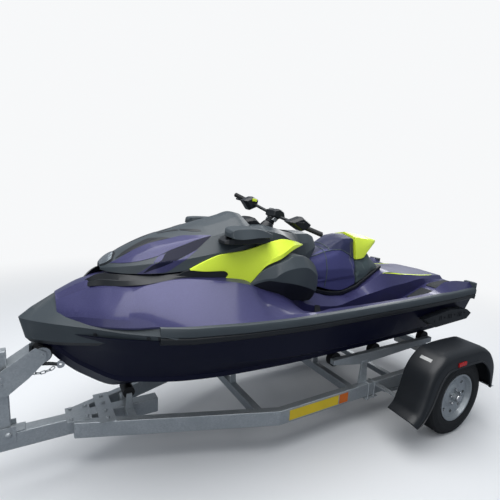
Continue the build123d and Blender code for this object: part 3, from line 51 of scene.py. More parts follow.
# Stage
# A pale floor under soft studio light, darker to every ray but the camera's as painted shade under the craft
# and a painted dark reflection in its gloss. The camera stands off the port bow, above the deck, looks aft
# and down at the craft, and leans a few degrees to its right.
scene = bpy.context.scene
scene.view_settings.view_transform = "Standard"
stern_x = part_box("hull")[0].x
keel_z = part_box("hull")[0].z
camera_place = Vector((stern_x + 3.221, 2.276, keel_z + 1.3205))
camera_yaw, camera_dip, camera_lean = 1.04059, 0.182956, 0.050227
sight = Vector((-cos(camera_yaw) * cos(camera_dip), -sin(camera_yaw) * cos(camera_dip), -sin(camera_dip)))
level_right = sight.cross(Vector((0, 0, 1))).normalized()
level_up = level_right.cross(sight)
right = cos(camera_lean) * level_right + sin(camera_lean) * level_up
up = cos(camera_lean) * level_up - sin(camera_lean) * level_right
camera = bpy.data.objects.new("camera", bpy.data.cameras.new("camera"))
camera.data.lens = 27.342
camera.data.sensor_width = 36
camera.data.clip_end = 200
turned = Matrix((right, up, -sight)).transposed().to_4x4()
camera.matrix_world = Matrix.Translation(camera_place) @ turned
scene.collection.objects.link(camera)
scene.camera = camera

BACKDROP = (0.93, 0.94, 0.95)


def feed(tree, kind, output, *values, **named):
    """Adds a shader node and gives back one of its outputs. Keywords with a capital name its inputs, with
    underscores for spaces, and the others are its own settings. A value that is an output is linked."""
    node = tree.nodes.new(f"ShaderNode{kind}")
    for name, value in named.items():
        if name[0].islower():
            setattr(node, name, value)
    sockets = list(zip(node.inputs, values))
    for name, value in named.items():
        if name[0].isupper():
            sockets.append((node.inputs[name.replace("_", " ")], value))
    for socket, value in sockets:
        if isinstance(value, bpy.types.NodeSocket):
            tree.links.new(value, socket)
        else:
            socket.default_value = value
    return node.outputs[output]


def between(tree, share, first, last):
    """Colour that runs from first to last as the share runs from 0 to 1."""
    return feed(tree, "Mix", "Result", data_type="RGBA", Factor=share, A=(*first, 1), B=(*last, 1))


world = bpy.data.worlds.new("studio")
scene.world = world
world.use_nodes = True
world_tree = world.node_tree
glow = between(world_tree, feed(world_tree, "LightPath", "Is Camera Ray"), (0.33, 0.36, 0.40), BACKDROP)
world_tree.links.new(glow, world_tree.nodes["Background"].inputs["Color"])

for name, place, aim, size, power in (
    ("lamp_above", (0.2, 0.3, 5.0), (0, 0, 0.6), 5.0, 270),
    ("lamp_bow", (4.2, 3.6, 2.9), (0.2, 0, 0.7), 4.6, 62),
    ("lamp_stern", (-4.4, -2.6, 3.2), (0, 0, 0.8), 2.6, 70),
):
    lamp = bpy.data.objects.new(name, bpy.data.lights.new(name, "AREA"))
    lamp.data.size = size
    lamp.data.energy = power
    lamp.location = place
    lamp.rotation_euler = (Vector(aim) - Vector(place)).to_track_quat("-Z", "Y").to_euler()
    scene.collection.objects.link(lamp)


def plain_finish(name, colour, rough, **sockets):
    """One principled surface; the keyword names are its sockets with spaces as underscores."""
    made = bpy.data.materials.new(name)
    made.use_nodes = True
    shader = made.node_tree.nodes["Principled BSDF"]
    shader.inputs["Base Color"].default_value = (*colour, 1)
    shader.inputs["Roughness"].default_value = rough
    for socket, value in sockets.items():
        shader.inputs[socket.replace("_", " ")].default_value = value
    return made


def drive(finish, **links):
    """Links outputs to sockets of a finish's shader, which are named as in plain_finish."""
    shader = finish.node_tree.nodes["Principled BSDF"]
    for socket, output in links.items():
        finish.node_tree.links.new(output, shader.inputs[socket.replace("_", " ")])


FLOOR_TONE = (0.80, 0.81, 0.82)
FLOOR_REACH = 30.0
floor_corners = [(FLOOR_REACH * x, FLOOR_REACH * y, 0) for x, y in ((-1, -1), (1, -1), (1, 1), (-1, 1))]
floor_mesh = bpy.data.meshes.new("floor")
floor_mesh.from_pydata(floor_corners, [], [(0, 1, 2, 3)])
floor = bpy.data.objects.new("floor", floor_mesh)
floor_finish = plain_finish("pale_floor", FLOOR_TONE, 0.85)
floor_tree = floor_finish.node_tree
FADE_FROM, FADE_TO = 2.0, 6.5
floor_place = feed(floor_tree, "TexCoord", "Object")
floor_far = feed(floor_tree, "VectorMath", "Value", floor_place, operation="LENGTH")
floor_fade = feed(
    floor_tree, "MapRange", "Result", interpolation_type="SMOOTHSTEP",
    Value=floor_far, From_Min=FADE_FROM, From_Max=FADE_TO,
)
# painted shade and painted reflection: to all rays but the camera's the floor is darker, so the craft's
# undersides and the floor seen in its gloss come out darker
floor_seen = feed(floor_tree, "LightPath", "Is Camera Ray")
drive(floor_finish, Base_Color=between(floor_tree, floor_seen, (0.22, 0.24, 0.27), FLOOR_TONE))
floor_share = feed(floor_tree, "Math", "Value", floor_fade, floor_seen, operation="MULTIPLY")
floor_lit = floor_tree.nodes["Principled BSDF"].outputs["BSDF"]
floor_glow = feed(floor_tree, "Emission", "Emission", Color=(*BACKDROP, 1))
floor_mix = feed(floor_tree, "MixShader", "Shader", floor_share, floor_lit, floor_glow)
floor_tree.links.new(floor_mix, floor_tree.nodes["Material Output"].inputs["Surface"])
floor_mesh.materials.append(floor_finish)
scene.collection.objects.link(floor)

# Hull
# One moulding of glass fibre with a deep V bottom, a stepped chine and a jet tunnel let into its
# stern. It is sprayed in a dark violet gelcoat and polished. Sections run across the boat at
# stations from the stern, and every column of the table is carried smoothly between them.
GEL = (0.002, 0.003, 0.016)


def smooth_rows(table, per):
    """Carries every column of a table smoothly along its first. Between two rows each column is a cubic
    whose end slopes are the harmonic mean of the chords on either side, so that it never overshoots.
    Rows that share a first value are a step, and stay one."""
    rows = np.array(table, float)
    steps = np.flatnonzero(np.diff(rows[:, 0]) == 0) + 1
    parts = []
    for run in np.split(rows, steps):
        if len(run) == 1:
            parts.append(run)
            continue
        width = np.diff(run[:, 0])[:, None]
        chord = np.diff(run, axis=0) / width
        slope = np.zeros_like(run)
        slope[0], slope[-1] = chord[0], chord[-1]
        before, after = chord[:-1], chord[1:]
        same = before * after > 0
        slope[1:-1] = np.where(same, 2 * before * after / np.where(same, before + after, 1), 0)
        t = np.linspace(0, 1, per, endpoint=False)[None, :, None]
        a, b = run[:-1, None], run[1:, None]
        p, q = (slope[:-1] * width)[:, None], (slope[1:] * width)[:, None]
        grown = a + t * p + t * t * (3 * (b - a) - 2 * p - q) + t ** 3 * (2 * (a - b) + p + q)
        parts.append(np.concatenate([grown.reshape(-1, run.shape[1]), run[-1:]]))
    return np.concatenate(parts)


def craft(points):
    """Points given forward of the stern, to port and above the keel, moved to the row frame."""
    return np.asarray(points, float) + np.array((stern_x, 0, keel_z))


def rounded(piece, width, angle, segments=2):
    """Rounds those edges of a piece that are sharper than the angle to a width."""
    edge = piece.modifiers.new("edge", "BEVEL")
    edge.width = width
    edge.segments = segments
    edge.limit_method = "ANGLE"
    edge.angle_limit = radians(angle)
    edge.harden_normals = True


WELD = 1e-5


def finish_mesh(name, points, faces, material, bevel=0.0, angle=25.0):
    """Object from points and faces: doubles merged, normals made outward, edges sharper than the angle
    rounded to the bevel's width."""
    mesh = bpy.data.meshes.new(name)
    mesh.from_pydata(np.asarray(points).reshape(-1, 3).tolist(), [], faces)
    work = bmesh.new()
    work.from_mesh(mesh)
    bmesh.ops.remove_doubles(work, verts=work.verts, dist=WELD)
    bmesh.ops.dissolve_degenerate(work, edges=work.edges, dist=WELD)
    bmesh.ops.recalc_face_normals(work, faces=work.faces)
    work.to_mesh(mesh)
    work.free()
    made = bpy.data.objects.new(name, mesh)
    scene.collection.objects.link(made)
    if material is not None:
        mesh.materials.append(material)
    mesh.shade_smooth()
    mesh.set_sharp_from_angle(angle=radians(angle))
    if bevel:
        rounded(made, bevel, angle)
    return made


def stations(x, *corners):
    """Grid of points with a row for each station x and a column for each corner's y and z."""
    return np.stack([np.stack([x, y + 0 * x, z + 0 * x], axis=1) for y, z in corners], axis=1)


def grid_faces(rows, columns, start=0, around=False):
    """Quads between neighbouring rows of a grid whose points count on from start; around joins the last
    column to the first."""
    r = np.arange(rows - 1)[:, None] * columns + start
    c = np.arange(columns if around else columns - 1)[None, :]
    n = (c + 1) % columns
    quads = np.stack([r + c, r + n, r + columns + n, r + columns + c], axis=-1)
    return quads.reshape(-1, 4).tolist()


def tube_solid(rings):
    """Points and faces of a closed solid through rings of equal count, with a fan on each end."""
    rings = np.asarray(rings, float)
    rows, columns = rings.shape[:2]
    points = np.concatenate([rings.reshape(-1, 3), rings[[0, -1]].mean(axis=1)])
    faces = grid_faces(rows, columns, around=True)
    last = (rows - 1) * columns
    for k in range(columns):
        faces.append([rows * columns, (k + 1) % columns, k])
        faces.append([rows * columns + 1, last + k, last + (k + 1) % columns])
    return points, faces


def slab_solid(outer, inner):
    """Points and faces of a closed plate between two grids of the same shape."""
    outer, inner = np.asarray(outer, float), np.asarray(inner, float)
    rows, columns = outer.shape[:2]
    count = rows * columns
    grid = np.arange(count).reshape(rows, columns)
    rim = np.concatenate([grid[0], grid[1:, -1], grid[-1, -2::-1], grid[-2:0:-1, 0]])
    after = np.roll(rim, -1)
    sides = np.stack([rim, after, after + count, rim + count], axis=-1).tolist()
    faces = grid_faces(rows, columns) + grid_faces(rows, columns, start=count) + sides
    return np.concatenate([outer.reshape(-1, 3), inner.reshape(-1, 3)]), faces


def join_solids(solids):
    """Points and faces of several solids as one mesh."""
    points, faces, start = [], [], 0
    for more, polygons in solids:
        points.append(np.asarray(more).reshape(-1, 3))
        faces += [[k + start for k in polygon] for polygon in polygons]
        start += len(points[-1])
    return np.concatenate(points), faces


def both_hands(solid):
    """A solid and its mirror image across the centre line."""
    points, faces = solid
    return join_solids([solid, (points * (1, -1, 1), [polygon[::-1] for polygon in faces])])


def full_width(half):
    """Grid of half profiles, from port in to the centre line, completed to starboard."""
    return np.concatenate([half, half[:, -2::-1] * (1, -1, 1)], axis=1)


def gelcoat(name, colour, flake, seed, coat=0.30, metal=0.20, specular=0.3):
    """Sprayed gelcoat under clear polish: a deep colour with fine metallic flake, faint waviness from the
    mould and a clear coat over it."""
    made = plain_finish(
        name, colour, 0.40, Metallic=metal, Specular_IOR_Level=specular,
        Coat_Weight=coat, Coat_Roughness=0.10, Coat_IOR=1.5,
    )
    tree = made.node_tree
    place = feed(tree, "TexCoord", "Object")
    spot = feed(tree, "TexVoronoi", "Color", Scale=900, Vector=place)
    share = feed(tree, "MapRange", "Result", Value=spot, From_Min=0.25, From_Max=0.95, To_Max=0.5)
    wave = feed(tree, "TexNoise", "Fac", noise_dimensions="4D", W=seed, Scale=7, Detail=1.5, Vector=place)
    swell = feed(tree, "Bump", "Normal", Strength=0.05, Distance=0.01, Height=wave)
    drive(made, Base_Color=between(tree, share, colour, flake), Coat_Normal=swell)
    return made


# station, recess half-width, recess roof, keel, bottom edge y, z, lip y, z, chine y, z, beam, joint line
HULL = [
    (0.000, 0.165, 0.345, 0.016, 0.360, 0.140, 0.378, 0.134, 0.470, 0.222, 0.560, 0.490),
    (0.400, 0.165, 0.345, 0.000, 0.395, 0.150, 0.413, 0.144, 0.500, 0.236, 0.590, 0.490),
    (0.400, 0.084, 0.018, 0.000, 0.395, 0.150, 0.413, 0.144, 0.500, 0.236, 0.590, 0.490),
    (0.500, 0.084, 0.030, 0.000, 0.398, 0.151, 0.416, 0.145, 0.505, 0.238, 0.594, 0.490),
    (0.500, 0.084, 0.190, 0.000, 0.398, 0.151, 0.416, 0.145, 0.505, 0.238, 0.594, 0.490),
    (0.660, 0.084, 0.182, 0.000, 0.404, 0.153, 0.422, 0.147, 0.513, 0.240, 0.598, 0.490),
    (0.950, 0.084, 0.040, 0.000, 0.418, 0.158, 0.436, 0.152, 0.529, 0.245, 0.606, 0.490),
    (0.960, 0.084, 0.032, 0.000, 0.419, 0.158, 0.437, 0.152, 0.530, 0.245, 0.606, 0.490),
    (1.700, 0.084, 0.032, 0.000, 0.425, 0.162, 0.443, 0.157, 0.545, 0.258, 0.611, 0.490),
    (2.150, 0.080, 0.032, 0.000, 0.400, 0.160, 0.416, 0.156, 0.520, 0.283, 0.600, 0.490),
    (2.500, 0.066, 0.030, 0.000, 0.330, 0.150, 0.343, 0.149, 0.452, 0.318, 0.562, 0.490),
    (2.800, 0.041, 0.046, 0.020, 0.205, 0.150, 0.213, 0.152, 0.325, 0.352, 0.430, 0.490),
    (3.000, 0.021, 0.158, 0.140, 0.105, 0.232, 0.110, 0.236, 0.185, 0.392, 0.285, 0.490),
    (3.120, 0.009, 0.270, 0.258, 0.045, 0.322, 0.048, 0.326, 0.095, 0.425, 0.165, 0.490),
    (3.200, 0.003, 0.378, 0.372, 0.014, 0.400, 0.015, 0.402, 0.030, 0.446, 0.062, 0.490),
]
HULL_SKIN = 0.008
OPEN_STERN = 0.4
LIP_HEIGHT = 0.030
KNUCKLE_OUT, KNUCKLE_UP = 0.35, 0.30
x, recess_y, roof, keel, low_y, low_z, lip_y, lip_z, chine_y, chine_z, beam, joint = smooth_rows(HULL, 8).T
foot = keel + (low_z - keel) * recess_y / low_y
sunk = (roof > foot + 0.01) | (x <= OPEN_STERN)
roof_z = np.where(sunk, roof, keel)
roof_edge = np.where(sunk, roof, foot)
knuckle_y = chine_y + KNUCKLE_OUT * (beam - chine_y)
knuckle_z = chine_z + KNUCKLE_UP * (joint - chine_z)
hull_half = stations(
    x, (beam, joint), (knuckle_y, knuckle_z), (chine_y, chine_z), (lip_y, lip_z + LIP_HEIGHT), (lip_y, lip_z),
    (low_y, low_z), (recess_y, foot), (recess_y, roof_edge), (0, roof_z),
)
inward = np.array([
    (0, -1, 0), (0, -1, 0.2), (0, -1, 0.5), (0, -0.7, 0.7), (0, -0.5, 1), (0, -0.3, 1), (0, 0.6, 1),
    (0, 0.6, 1), (0, 0, 1),
])
hull_inner = full_width(hull_half + inward * HULL_SKIN)
back = hull_half[0]
transom_top = back * (1, 1, 0) + (0, 0, joint[0])
transom = full_width(np.stack([transom_top, back]))
GEL_FLAKE = (0.007, 0.008, 0.040)
gel_hull = gelcoat("violet_gelcoat_dark", GEL, GEL_FLAKE, 1.3, coat=0.10, metal=0.10, specular=0.16)
hull_skin = finish_mesh(
    "hull_skin",
    *join_solids([
        slab_solid(craft(full_width(hull_half)), craft(hull_inner)),
        slab_solid(craft(transom + (0.001, 0, 0)), craft(transom + (HULL_SKIN, 0, 0))),
    ]),
    gel_hull, bevel=0.004, angle=18,
)
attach(hull_skin, "craft_on_trailer")
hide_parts("hull", "hull_sides")

# Deck
# The upper moulding: gunwales, footwells with a ramp at their rear, the saddle under the seat, and a
# foredeck with a raised spine. It is sprayed in a lighter violet pearl.
PEARL = (0.026, 0.025, 0.088)
# station, then y and z of: rail, chamfer, wall foot, floor's inner edge, shoulder, upper line;
# spine y; centre z
DECK = [
    (0.000, 0.560, 0.505, 0.520, 0.556, 0.445, 0.520, 0.300, 0.518, 0.262, 0.522, 0.235, 0.548, 0.12, 0.556),
    (0.057, 0.563, 0.507, 0.512, 0.565, 0.440, 0.521, 0.300, 0.520, 0.264, 0.526, 0.240, 0.556, 0.12, 0.562),
    (0.250, 0.580, 0.517, 0.505, 0.587, 0.430, 0.516, 0.285, 0.514, 0.272, 0.548, 0.250, 0.570, 0.12, 0.582),
    (0.330, 0.584, 0.520, 0.504, 0.588, 0.436, 0.486, 0.280, 0.486, 0.276, 0.555, 0.246, 0.577, 0.12, 0.592),
    (0.540, 0.597, 0.524, 0.505, 0.516, 0.455, 0.411, 0.270, 0.411, 0.280, 0.535, 0.232, 0.603, 0.12, 0.622),
    (0.700, 0.602, 0.527, 0.508, 0.511, 0.420, 0.355, 0.264, 0.355, 0.280, 0.523, 0.218, 0.630, 0.12, 0.645),
    (0.860, 0.605, 0.529, 0.510, 0.511, 0.400, 0.318, 0.262, 0.318, 0.280, 0.500, 0.200, 0.568, 0.12, 0.580),
    (1.020, 0.607, 0.530, 0.510, 0.511, 0.400, 0.318, 0.262, 0.318, 0.280, 0.478, 0.198, 0.500, 0.12, 0.502),
    (1.150, 0.608, 0.531, 0.510, 0.512, 0.400, 0.318, 0.262, 0.318, 0.280, 0.452, 0.200, 0.472, 0.12, 0.474),
    (1.270, 0.608, 0.531, 0.510, 0.514, 0.400, 0.318, 0.262, 0.318, 0.280, 0.432, 0.200, 0.480, 0.12, 0.482),
    (1.440, 0.609, 0.532, 0.510, 0.518, 0.400, 0.318, 0.262, 0.318, 0.280, 0.450, 0.195, 0.526, 0.12, 0.528),
    (1.560, 0.610, 0.533, 0.512, 0.522, 0.400, 0.318, 0.262, 0.318, 0.285, 0.480, 0.190, 0.548, 0.12, 0.552),
    (1.640, 0.611, 0.534, 0.540, 0.530, 0.410, 0.330, 0.275, 0.335, 0.290, 0.520, 0.190, 0.555, 0.12, 0.560),
    (1.740, 0.611, 0.536, 0.570, 0.542, 0.480, 0.515, 0.380, 0.520, 0.300, 0.560, 0.200, 0.570, 0.12, 0.575),
    (1.850, 0.610, 0.538, 0.582, 0.553, 0.515, 0.562, 0.408, 0.585, 0.300, 0.620, 0.200, 0.640, 0.12, 0.650),
    (2.030, 0.603, 0.545, 0.574, 0.566, 0.500, 0.600, 0.400, 0.655, 0.300, 0.690, 0.200, 0.700, 0.12, 0.705),
    (2.110, 0.600, 0.547, 0.570, 0.572, 0.485, 0.635, 0.392, 0.705, 0.300, 0.725, 0.200, 0.730, 0.11, 0.732),
    (2.310, 0.587, 0.553, 0.555, 0.580, 0.455, 0.672, 0.365, 0.742, 0.285, 0.752, 0.190, 0.756, 0.10, 0.758),
    (2.500, 0.562, 0.560, 0.535, 0.590, 0.430, 0.682, 0.325, 0.757, 0.250, 0.763, 0.160, 0.765, 0.09, 0.767),
    (2.680, 0.493, 0.566, 0.472, 0.596, 0.400, 0.668, 0.295, 0.734, 0.205, 0.745, 0.120, 0.750, 0.075, 0.760),
    (2.800, 0.430, 0.555, 0.412, 0.590, 0.365, 0.640, 0.290, 0.686, 0.185, 0.722, 0.100, 0.730, 0.062, 0.750),
    (2.900, 0.360, 0.550, 0.346, 0.588, 0.316, 0.618, 0.272, 0.645, 0.165, 0.693, 0.085, 0.706, 0.052, 0.742),
    (3.000, 0.270, 0.545, 0.260, 0.582, 0.238, 0.604, 0.205, 0.622, 0.120, 0.655, 0.072, 0.672, 0.045, 0.716),
    (3.080, 0.190, 0.540, 0.184, 0.570, 0.168, 0.590, 0.145, 0.606, 0.095, 0.628, 0.062, 0.645, 0.038, 0.680),
    (3.124, 0.140, 0.535, 0.136, 0.560, 0.124, 0.580, 0.108, 0.595, 0.078, 0.614, 0.055, 0.630, 0.034, 0.657),
]
DECK_SKIN = 0.010
BIN_LOW, BIN_HIGH = (2.190, -0.175, 0.530), (2.630, 0.175, 0.753)
x, *corners, spine_y, centre = smooth_rows(DECK, 8).T
deck_half = stations(x, *zip(corners[::2], corners[1::2]), (spine_y, centre - 0.004), (0, centre))
under = np.array([
    (0, -0.4, -1), (0, 0.3, -1), (0, 0.8, -1), (0, -0.8, -1), (0, -1, -0.6), (0, -0.4, -1), (0, 0, -1),
    (0, 0, -1),
])
deck_lower = deck_half + under * DECK_SKIN
back = deck_half[0]
deck_back = full_width(np.stack([back * (1, 1, 0) + (0, 0, joint[0]), back]))
gel_deck = gelcoat("violet_pearl", PEARL, (0.10, 0.10, 0.26), 4.1, coat=0.45, metal=0.25)
deck_skin = finish_mesh(
    "deck_skin",
    *join_solids([
        slab_solid(craft(full_width(deck_half)), craft(full_width(deck_lower))),
        slab_solid(craft(deck_back), craft(deck_back + (DECK_SKIN, 0, 0))),
    ]),
    gel_deck, bevel=0.006, angle=16,
)


def cut_opening(piece, low, high):
    """Cuts an upright opening through a piece's skin between two corners and closes the skin's thickness
    round it."""
    first, last = Vector(craft(low)), Vector(craft(high))
    work = bmesh.new()
    work.from_mesh(piece.data)
    for corner in (first, last):
        for axis in ((1, 0, 0), (0, 1, 0)):
            every = work.verts[:] + work.edges[:] + work.faces[:]
            bmesh.ops.bisect_plane(work, geom=every, dist=1e-6, plane_co=corner, plane_no=axis)
    gone = []
    for face in work.faces:
        middle = face.calc_center_median()
        if first.x < middle.x < last.x and first.y < middle.y < last.y and middle.z > first.z:
            gone.append(face)
    bmesh.ops.delete(work, geom=gone, context="FACES")
    bmesh.ops.bridge_loops(work, edges=[edge for edge in work.edges if edge.is_boundary])
    bmesh.ops.recalc_face_normals(work, faces=work.faces)
    work.to_mesh(piece.data)
    work.free()


def on_deck(x, y, lift):
    """Point of the deck's top face straight below, raised by lift."""
    _, spot, *_ = deck_skin.ray_cast(Vector(craft((x, y, 0.9))), Vector((0, 0, -1)))
    return spot + Vector((0, 0, lift))


# rear, front, inner edge, outer edge of each mat on the port side
MATS = [
    (0.035, 0.300, 0.310, 0.425), (0.345, 0.520, 0.300, 0.435), (0.560, 0.840, 0.290, 0.405),
    (0.880, 1.495, 0.280, 0.385),
]
MAT_TOP, MAT_FOOT = 0.006, -0.003
mats = []
for rear, front, near, far in MATS:
    grid = [[(x, y) for y in np.linspace(near, far, 7)] for x in np.linspace(rear, front, 14)]
    faces = ([[on_deck(x, y, lift) for x, y in row] for row in grid] for lift in (MAT_TOP, MAT_FOOT))
    mats.append(slab_solid(*faces))
deck_mats = finish_mesh("deck_mats", *both_hands(join_solids(mats)), None, bevel=0.002, angle=35)
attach(deck_mats, "craft_on_trailer")
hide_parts("mats")
cut_opening(deck_skin, BIN_LOW, BIN_HIGH)
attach(deck_skin, "craft_on_trailer")
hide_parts("deck", "bin_deck", "saddle", "footwell_floors", "gunwales", "stern_deck")

# Bin under the hood
# A black moulded tub hung in the deck's opening.
TUB_WALL = 0.004
tub_low, tub_high = np.array(BIN_LOW), np.array(BIN_HIGH)
middle, half = (tub_low + tub_high)[:2] / 2, (tub_high - tub_low)[:2] / 2
floor_z, rim_z = tub_low[2], tub_high[2]
tub_rings = [
    [(*(middle + reach * np.array(corner)), high) for corner in ((-1, -1), (1, -1), (1, 1), (-1, 1))]
    for reach, high in (
        (half, rim_z), (half, floor_z), (0 * half, floor_z), (0 * half, floor_z + TUB_WALL),
        (half - TUB_WALL, floor_z + TUB_WALL), (half - TUB_WALL, rim_z), (half, rim_z),
    )
]
tub_faces = grid_faces(len(tub_rings), 4, around=True)
tub = finish_mesh("bin_tub", craft(tub_rings), tub_faces, None, bevel=0.0015, angle=35)
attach(tub, "craft_on_trailer")

# Quarter stripes
# A lime stripe along the top of each rear quarter: a thin leaf that follows the deck's face and
# tapers to its ends.
# x, y, z and half width, front to rear
STRIPE = [
    (0.760, 0.238, 0.640, 0.0025), (0.600, 0.236, 0.615, 0.009), (0.440, 0.236, 0.598, 0.010),
    (0.280, 0.238, 0.580, 0.009), (0.130, 0.236, 0.565, 0.005),
]


def edge_grid(table, per):
    """Grid of points from rows that hold an order number and then x, y, z of one point per column."""
    rows = smooth_rows(table, per)
    return rows[:, 1:].reshape(len(rows), -1, 3)


stripe_rows = edge_grid([(k, x, y - half, z, x, y + half, z) for k, (x, y, z, half) in enumerate(STRIPE)], 8)
laid, sunk_in = [], []
for point in craft(stripe_rows).reshape(-1, 3):
    _, spot, out, _ = deck_skin.closest_point_on_mesh(Vector(point))
    laid.append(spot + out * 0.0015)
    sunk_in.append(spot - out * 0.002)
stripe_leaf = slab_solid(np.reshape(laid, (-1, 2, 3)), np.reshape(sunk_in, (-1, 2, 3)))
stripe_lime = plain_finish("stripe_lime", (0.74, 0.93, 0.045), 0.35, Coat_Weight=0.4, Coat_Roughness=0.08)
quarter_stripe = finish_mesh("quarter_stripe", *both_hands(stripe_leaf), stripe_lime, angle=60)
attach(quarter_stripe, "craft_on_trailer")

# Bow cap
# A dark moulded bumper round the nose, faceted, with a sharp crease from the bow tip to its rear
# points. Profiles stand on spokes that turn from the bow to the beam.


def moulded(name, colour, rough, grain, seed, specular=0.45):
    """Moulded plastic or rubber: a fine leather-like grain, soft cloudy changes of gloss and a slightly
    dusty colour."""
    made = plain_finish(name, colour, rough, Specular_IOR_Level=specular)
    tree = made.node_tree
    place = feed(tree, "TexCoord", "Object")
    fine = feed(tree, "TexNoise", "Fac", Scale=grain, Detail=3, Vector=place)
    cloud = feed(tree, "TexNoise", "Fac", noise_dimensions="4D", W=seed, Scale=6, Detail=4, Vector=place)
    gloss = feed(tree, "MapRange", "Result", Value=cloud, To_Min=max(rough - 0.08, 0.05), To_Max=rough + 0.10)
    tint = between(tree, cloud, [0.82 * c for c in colour], [1.2 * c for c in colour])
    relief = feed(tree, "Bump", "Normal", Strength=0.22, Distance=0.0006, Height=fine)
    drive(made, Roughness=gloss, Base_Color=tint, Normal=relief)
    return made


grey_plastic = moulded("grey_moulding", (0.046, 0.058, 0.067), 0.40, 900, 2.0)
black_plastic = moulded("black_moulding", (0.009, 0.011, 0.014), 0.38, 900, 5.0)
tub.data.materials.append(black_plastic)


def painted_shade_below(piece, level):
    """Painted shade: the piece's lower facets, whose faces turn down past the level, are given the black
    moulding.
    """
    piece.data.materials.append(black_plastic)
    for face in piece.data.polygons:
        if face.normal.z < level:
            face.material_index = 1


# order, station, y, spoke's turn, depth, bottom, lip, crease, facet in, facet z, top in, top z
CAP = [
    (0, 3.303, 0.000, 0, 0.190, 0.392, 0.420, 0.538, 0.060, 0.586, 0.178, 0.657),
    (1, 3.262, 0.064, 20, 0.180, 0.395, 0.422, 0.539, 0.070, 0.582, 0.150, 0.640),
    (2, 3.170, 0.160, 37, 0.160, 0.402, 0.428, 0.540, 0.085, 0.600, 0.118, 0.632),
    (3, 2.985, 0.300, 47, 0.130, 0.420, 0.444, 0.534, 0.058, 0.584, 0.092, 0.622),
    (4, 2.810, 0.425, 54, 0.100, 0.440, 0.462, 0.522, 0.034, 0.556, 0.058, 0.594),
    (5, 2.681, 0.510, 62, 0.080, 0.462, 0.476, 0.520, 0.014, 0.542, 0.026, 0.567),
    (6, 2.600, 0.545, 66, 0.060, 0.470, 0.480, 0.500, 0.008, 0.530, 0.012, 0.552),
]
cap_rows = smooth_rows([(-r[0], r[1], -r[2], -r[3], *r[4:]) for r in CAP[:0:-1]] + CAP, 8)
_, x, y, turn, depth, low, lip, crease, mid_in, mid_z, top_in, top_z = cap_rows.T
turn = np.radians(turn)


def spoke_points(*profile):
    """Ring of points on upright spokes: each pair is how far out from the spoke's foot, and the height."""
    ring = [np.stack([x + out * np.cos(turn), y + out * np.sin(turn), z], axis=1) for out, z in profile]
    return np.stack(ring, axis=1)


cap_rings = spoke_points(
    (-depth, low), (-0.048, low), (-0.026, lip), (0, crease), (-mid_in, mid_z), (-top_in, top_z),
    (-top_in - 0.012, top_z - 0.006), (-depth - 0.012, low + 0.06),
)
bow_cap = finish_mesh("bow_cap_moulding", *tube_solid(craft(cap_rings)), grey_plastic, bevel=0.003, angle=14)
# painted shade: the cap's facets that face down are given the black moulding
painted_shade_below(bow_cap, -0.50)
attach(bow_cap, "craft_on_trailer")
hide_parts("bow_cap")

# Rub rails
# Soft rails along both gunwales in two tones: a grey flat top face over a black lower lip, with a
# groove between the two.
# station, hull beam, bottom z, top z
RAIL = [
    (0.004, 0.561, 0.430, 0.521),
    (0.400, 0.590, 0.437, 0.527),
    (1.000, 0.607, 0.443, 0.532),
    (1.700, 0.611, 0.449, 0.539),
    (2.150, 0.600, 0.462, 0.552),
    (2.500, 0.562, 0.470, 0.566),
    (2.680, 0.493, 0.468, 0.568),
]


def rail_solid(*profile):
    """Rails on both sides: each pair is how far out from the hull's beam, and the share of the height."""
    x, beam, low, high = smooth_rows(RAIL, 8).T
    rings = stations(x, *((beam + out, low + share * (high - low)) for out, share in profile))
    return both_hands(tube_solid(craft(rings)))


upper = rail_solid(
    (-0.02, 0.42), (0.014, 0.42), (0.018, 0.48), (0.018, 0.80), (0.012, 0.94), (-0.004, 1), (-0.02, 1),
)
lower = rail_solid((-0.02, 0), (0.004, 0), (0.014, 0.10), (0.0175, 0.34), (0.013, 0.40), (-0.02, 0.40))
rail_top = finish_mesh("rub_rail_top", *upper, grey_plastic, bevel=0.0015, angle=30)
rail_lip = finish_mesh("rub_rail_lip", *lower, black_plastic, bevel=0.0015, angle=30)
for piece, slot in ((rail_top, "grey_moulding"), (rail_lip, "black_moulding")):
    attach(piece, "craft_on_trailer")
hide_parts("rub_rail")

# Hood
# The front lid: a dark shell with a raised spine, a nose light, violet insets along its flanks and
# slots between them. It turns up and forward about its nose.
# station, base y, z, flank y, z, shoulder y, z, ridge y, z, top z
HOOD = [
    (2.893, 0.050, 0.778, 0.052, 0.788, 0.046, 0.796, 0.020, 0.800, 0.802),
    (2.860, 0.105, 0.777, 0.100, 0.800, 0.078, 0.818, 0.040, 0.832, 0.838),
    (2.800, 0.165, 0.776, 0.158, 0.812, 0.118, 0.840, 0.060, 0.862, 0.870),
    (2.700, 0.228, 0.779, 0.222, 0.830, 0.160, 0.880, 0.080, 0.908, 0.918),
    (2.600, 0.272, 0.784, 0.262, 0.846, 0.190, 0.915, 0.095, 0.945, 0.955),
    (2.450, 0.296, 0.798, 0.286, 0.862, 0.215, 0.950, 0.110, 0.985, 0.998),
    (2.300, 0.302, 0.818, 0.292, 0.884, 0.222, 0.975, 0.120, 1.022, 1.040),
    (2.150, 0.294, 0.838, 0.284, 0.910, 0.205, 1.004, 0.118, 1.056, 1.078),
    (2.060, 0.280, 0.854, 0.270, 0.930, 0.188, 1.026, 0.105, 1.080, 1.104),
    (2.000, 0.262, 0.866, 0.252, 0.945, 0.165, 1.030, 0.080, 1.072, 1.092),
]
HOOD_SKIN = 0.012
HOOD_FOOT = 0.866
x, base_y, base_z, flank_y, flank_z, shoulder_y, shoulder_z, ridge_y, ridge_z, top = smooth_rows(HOOD, 8).T
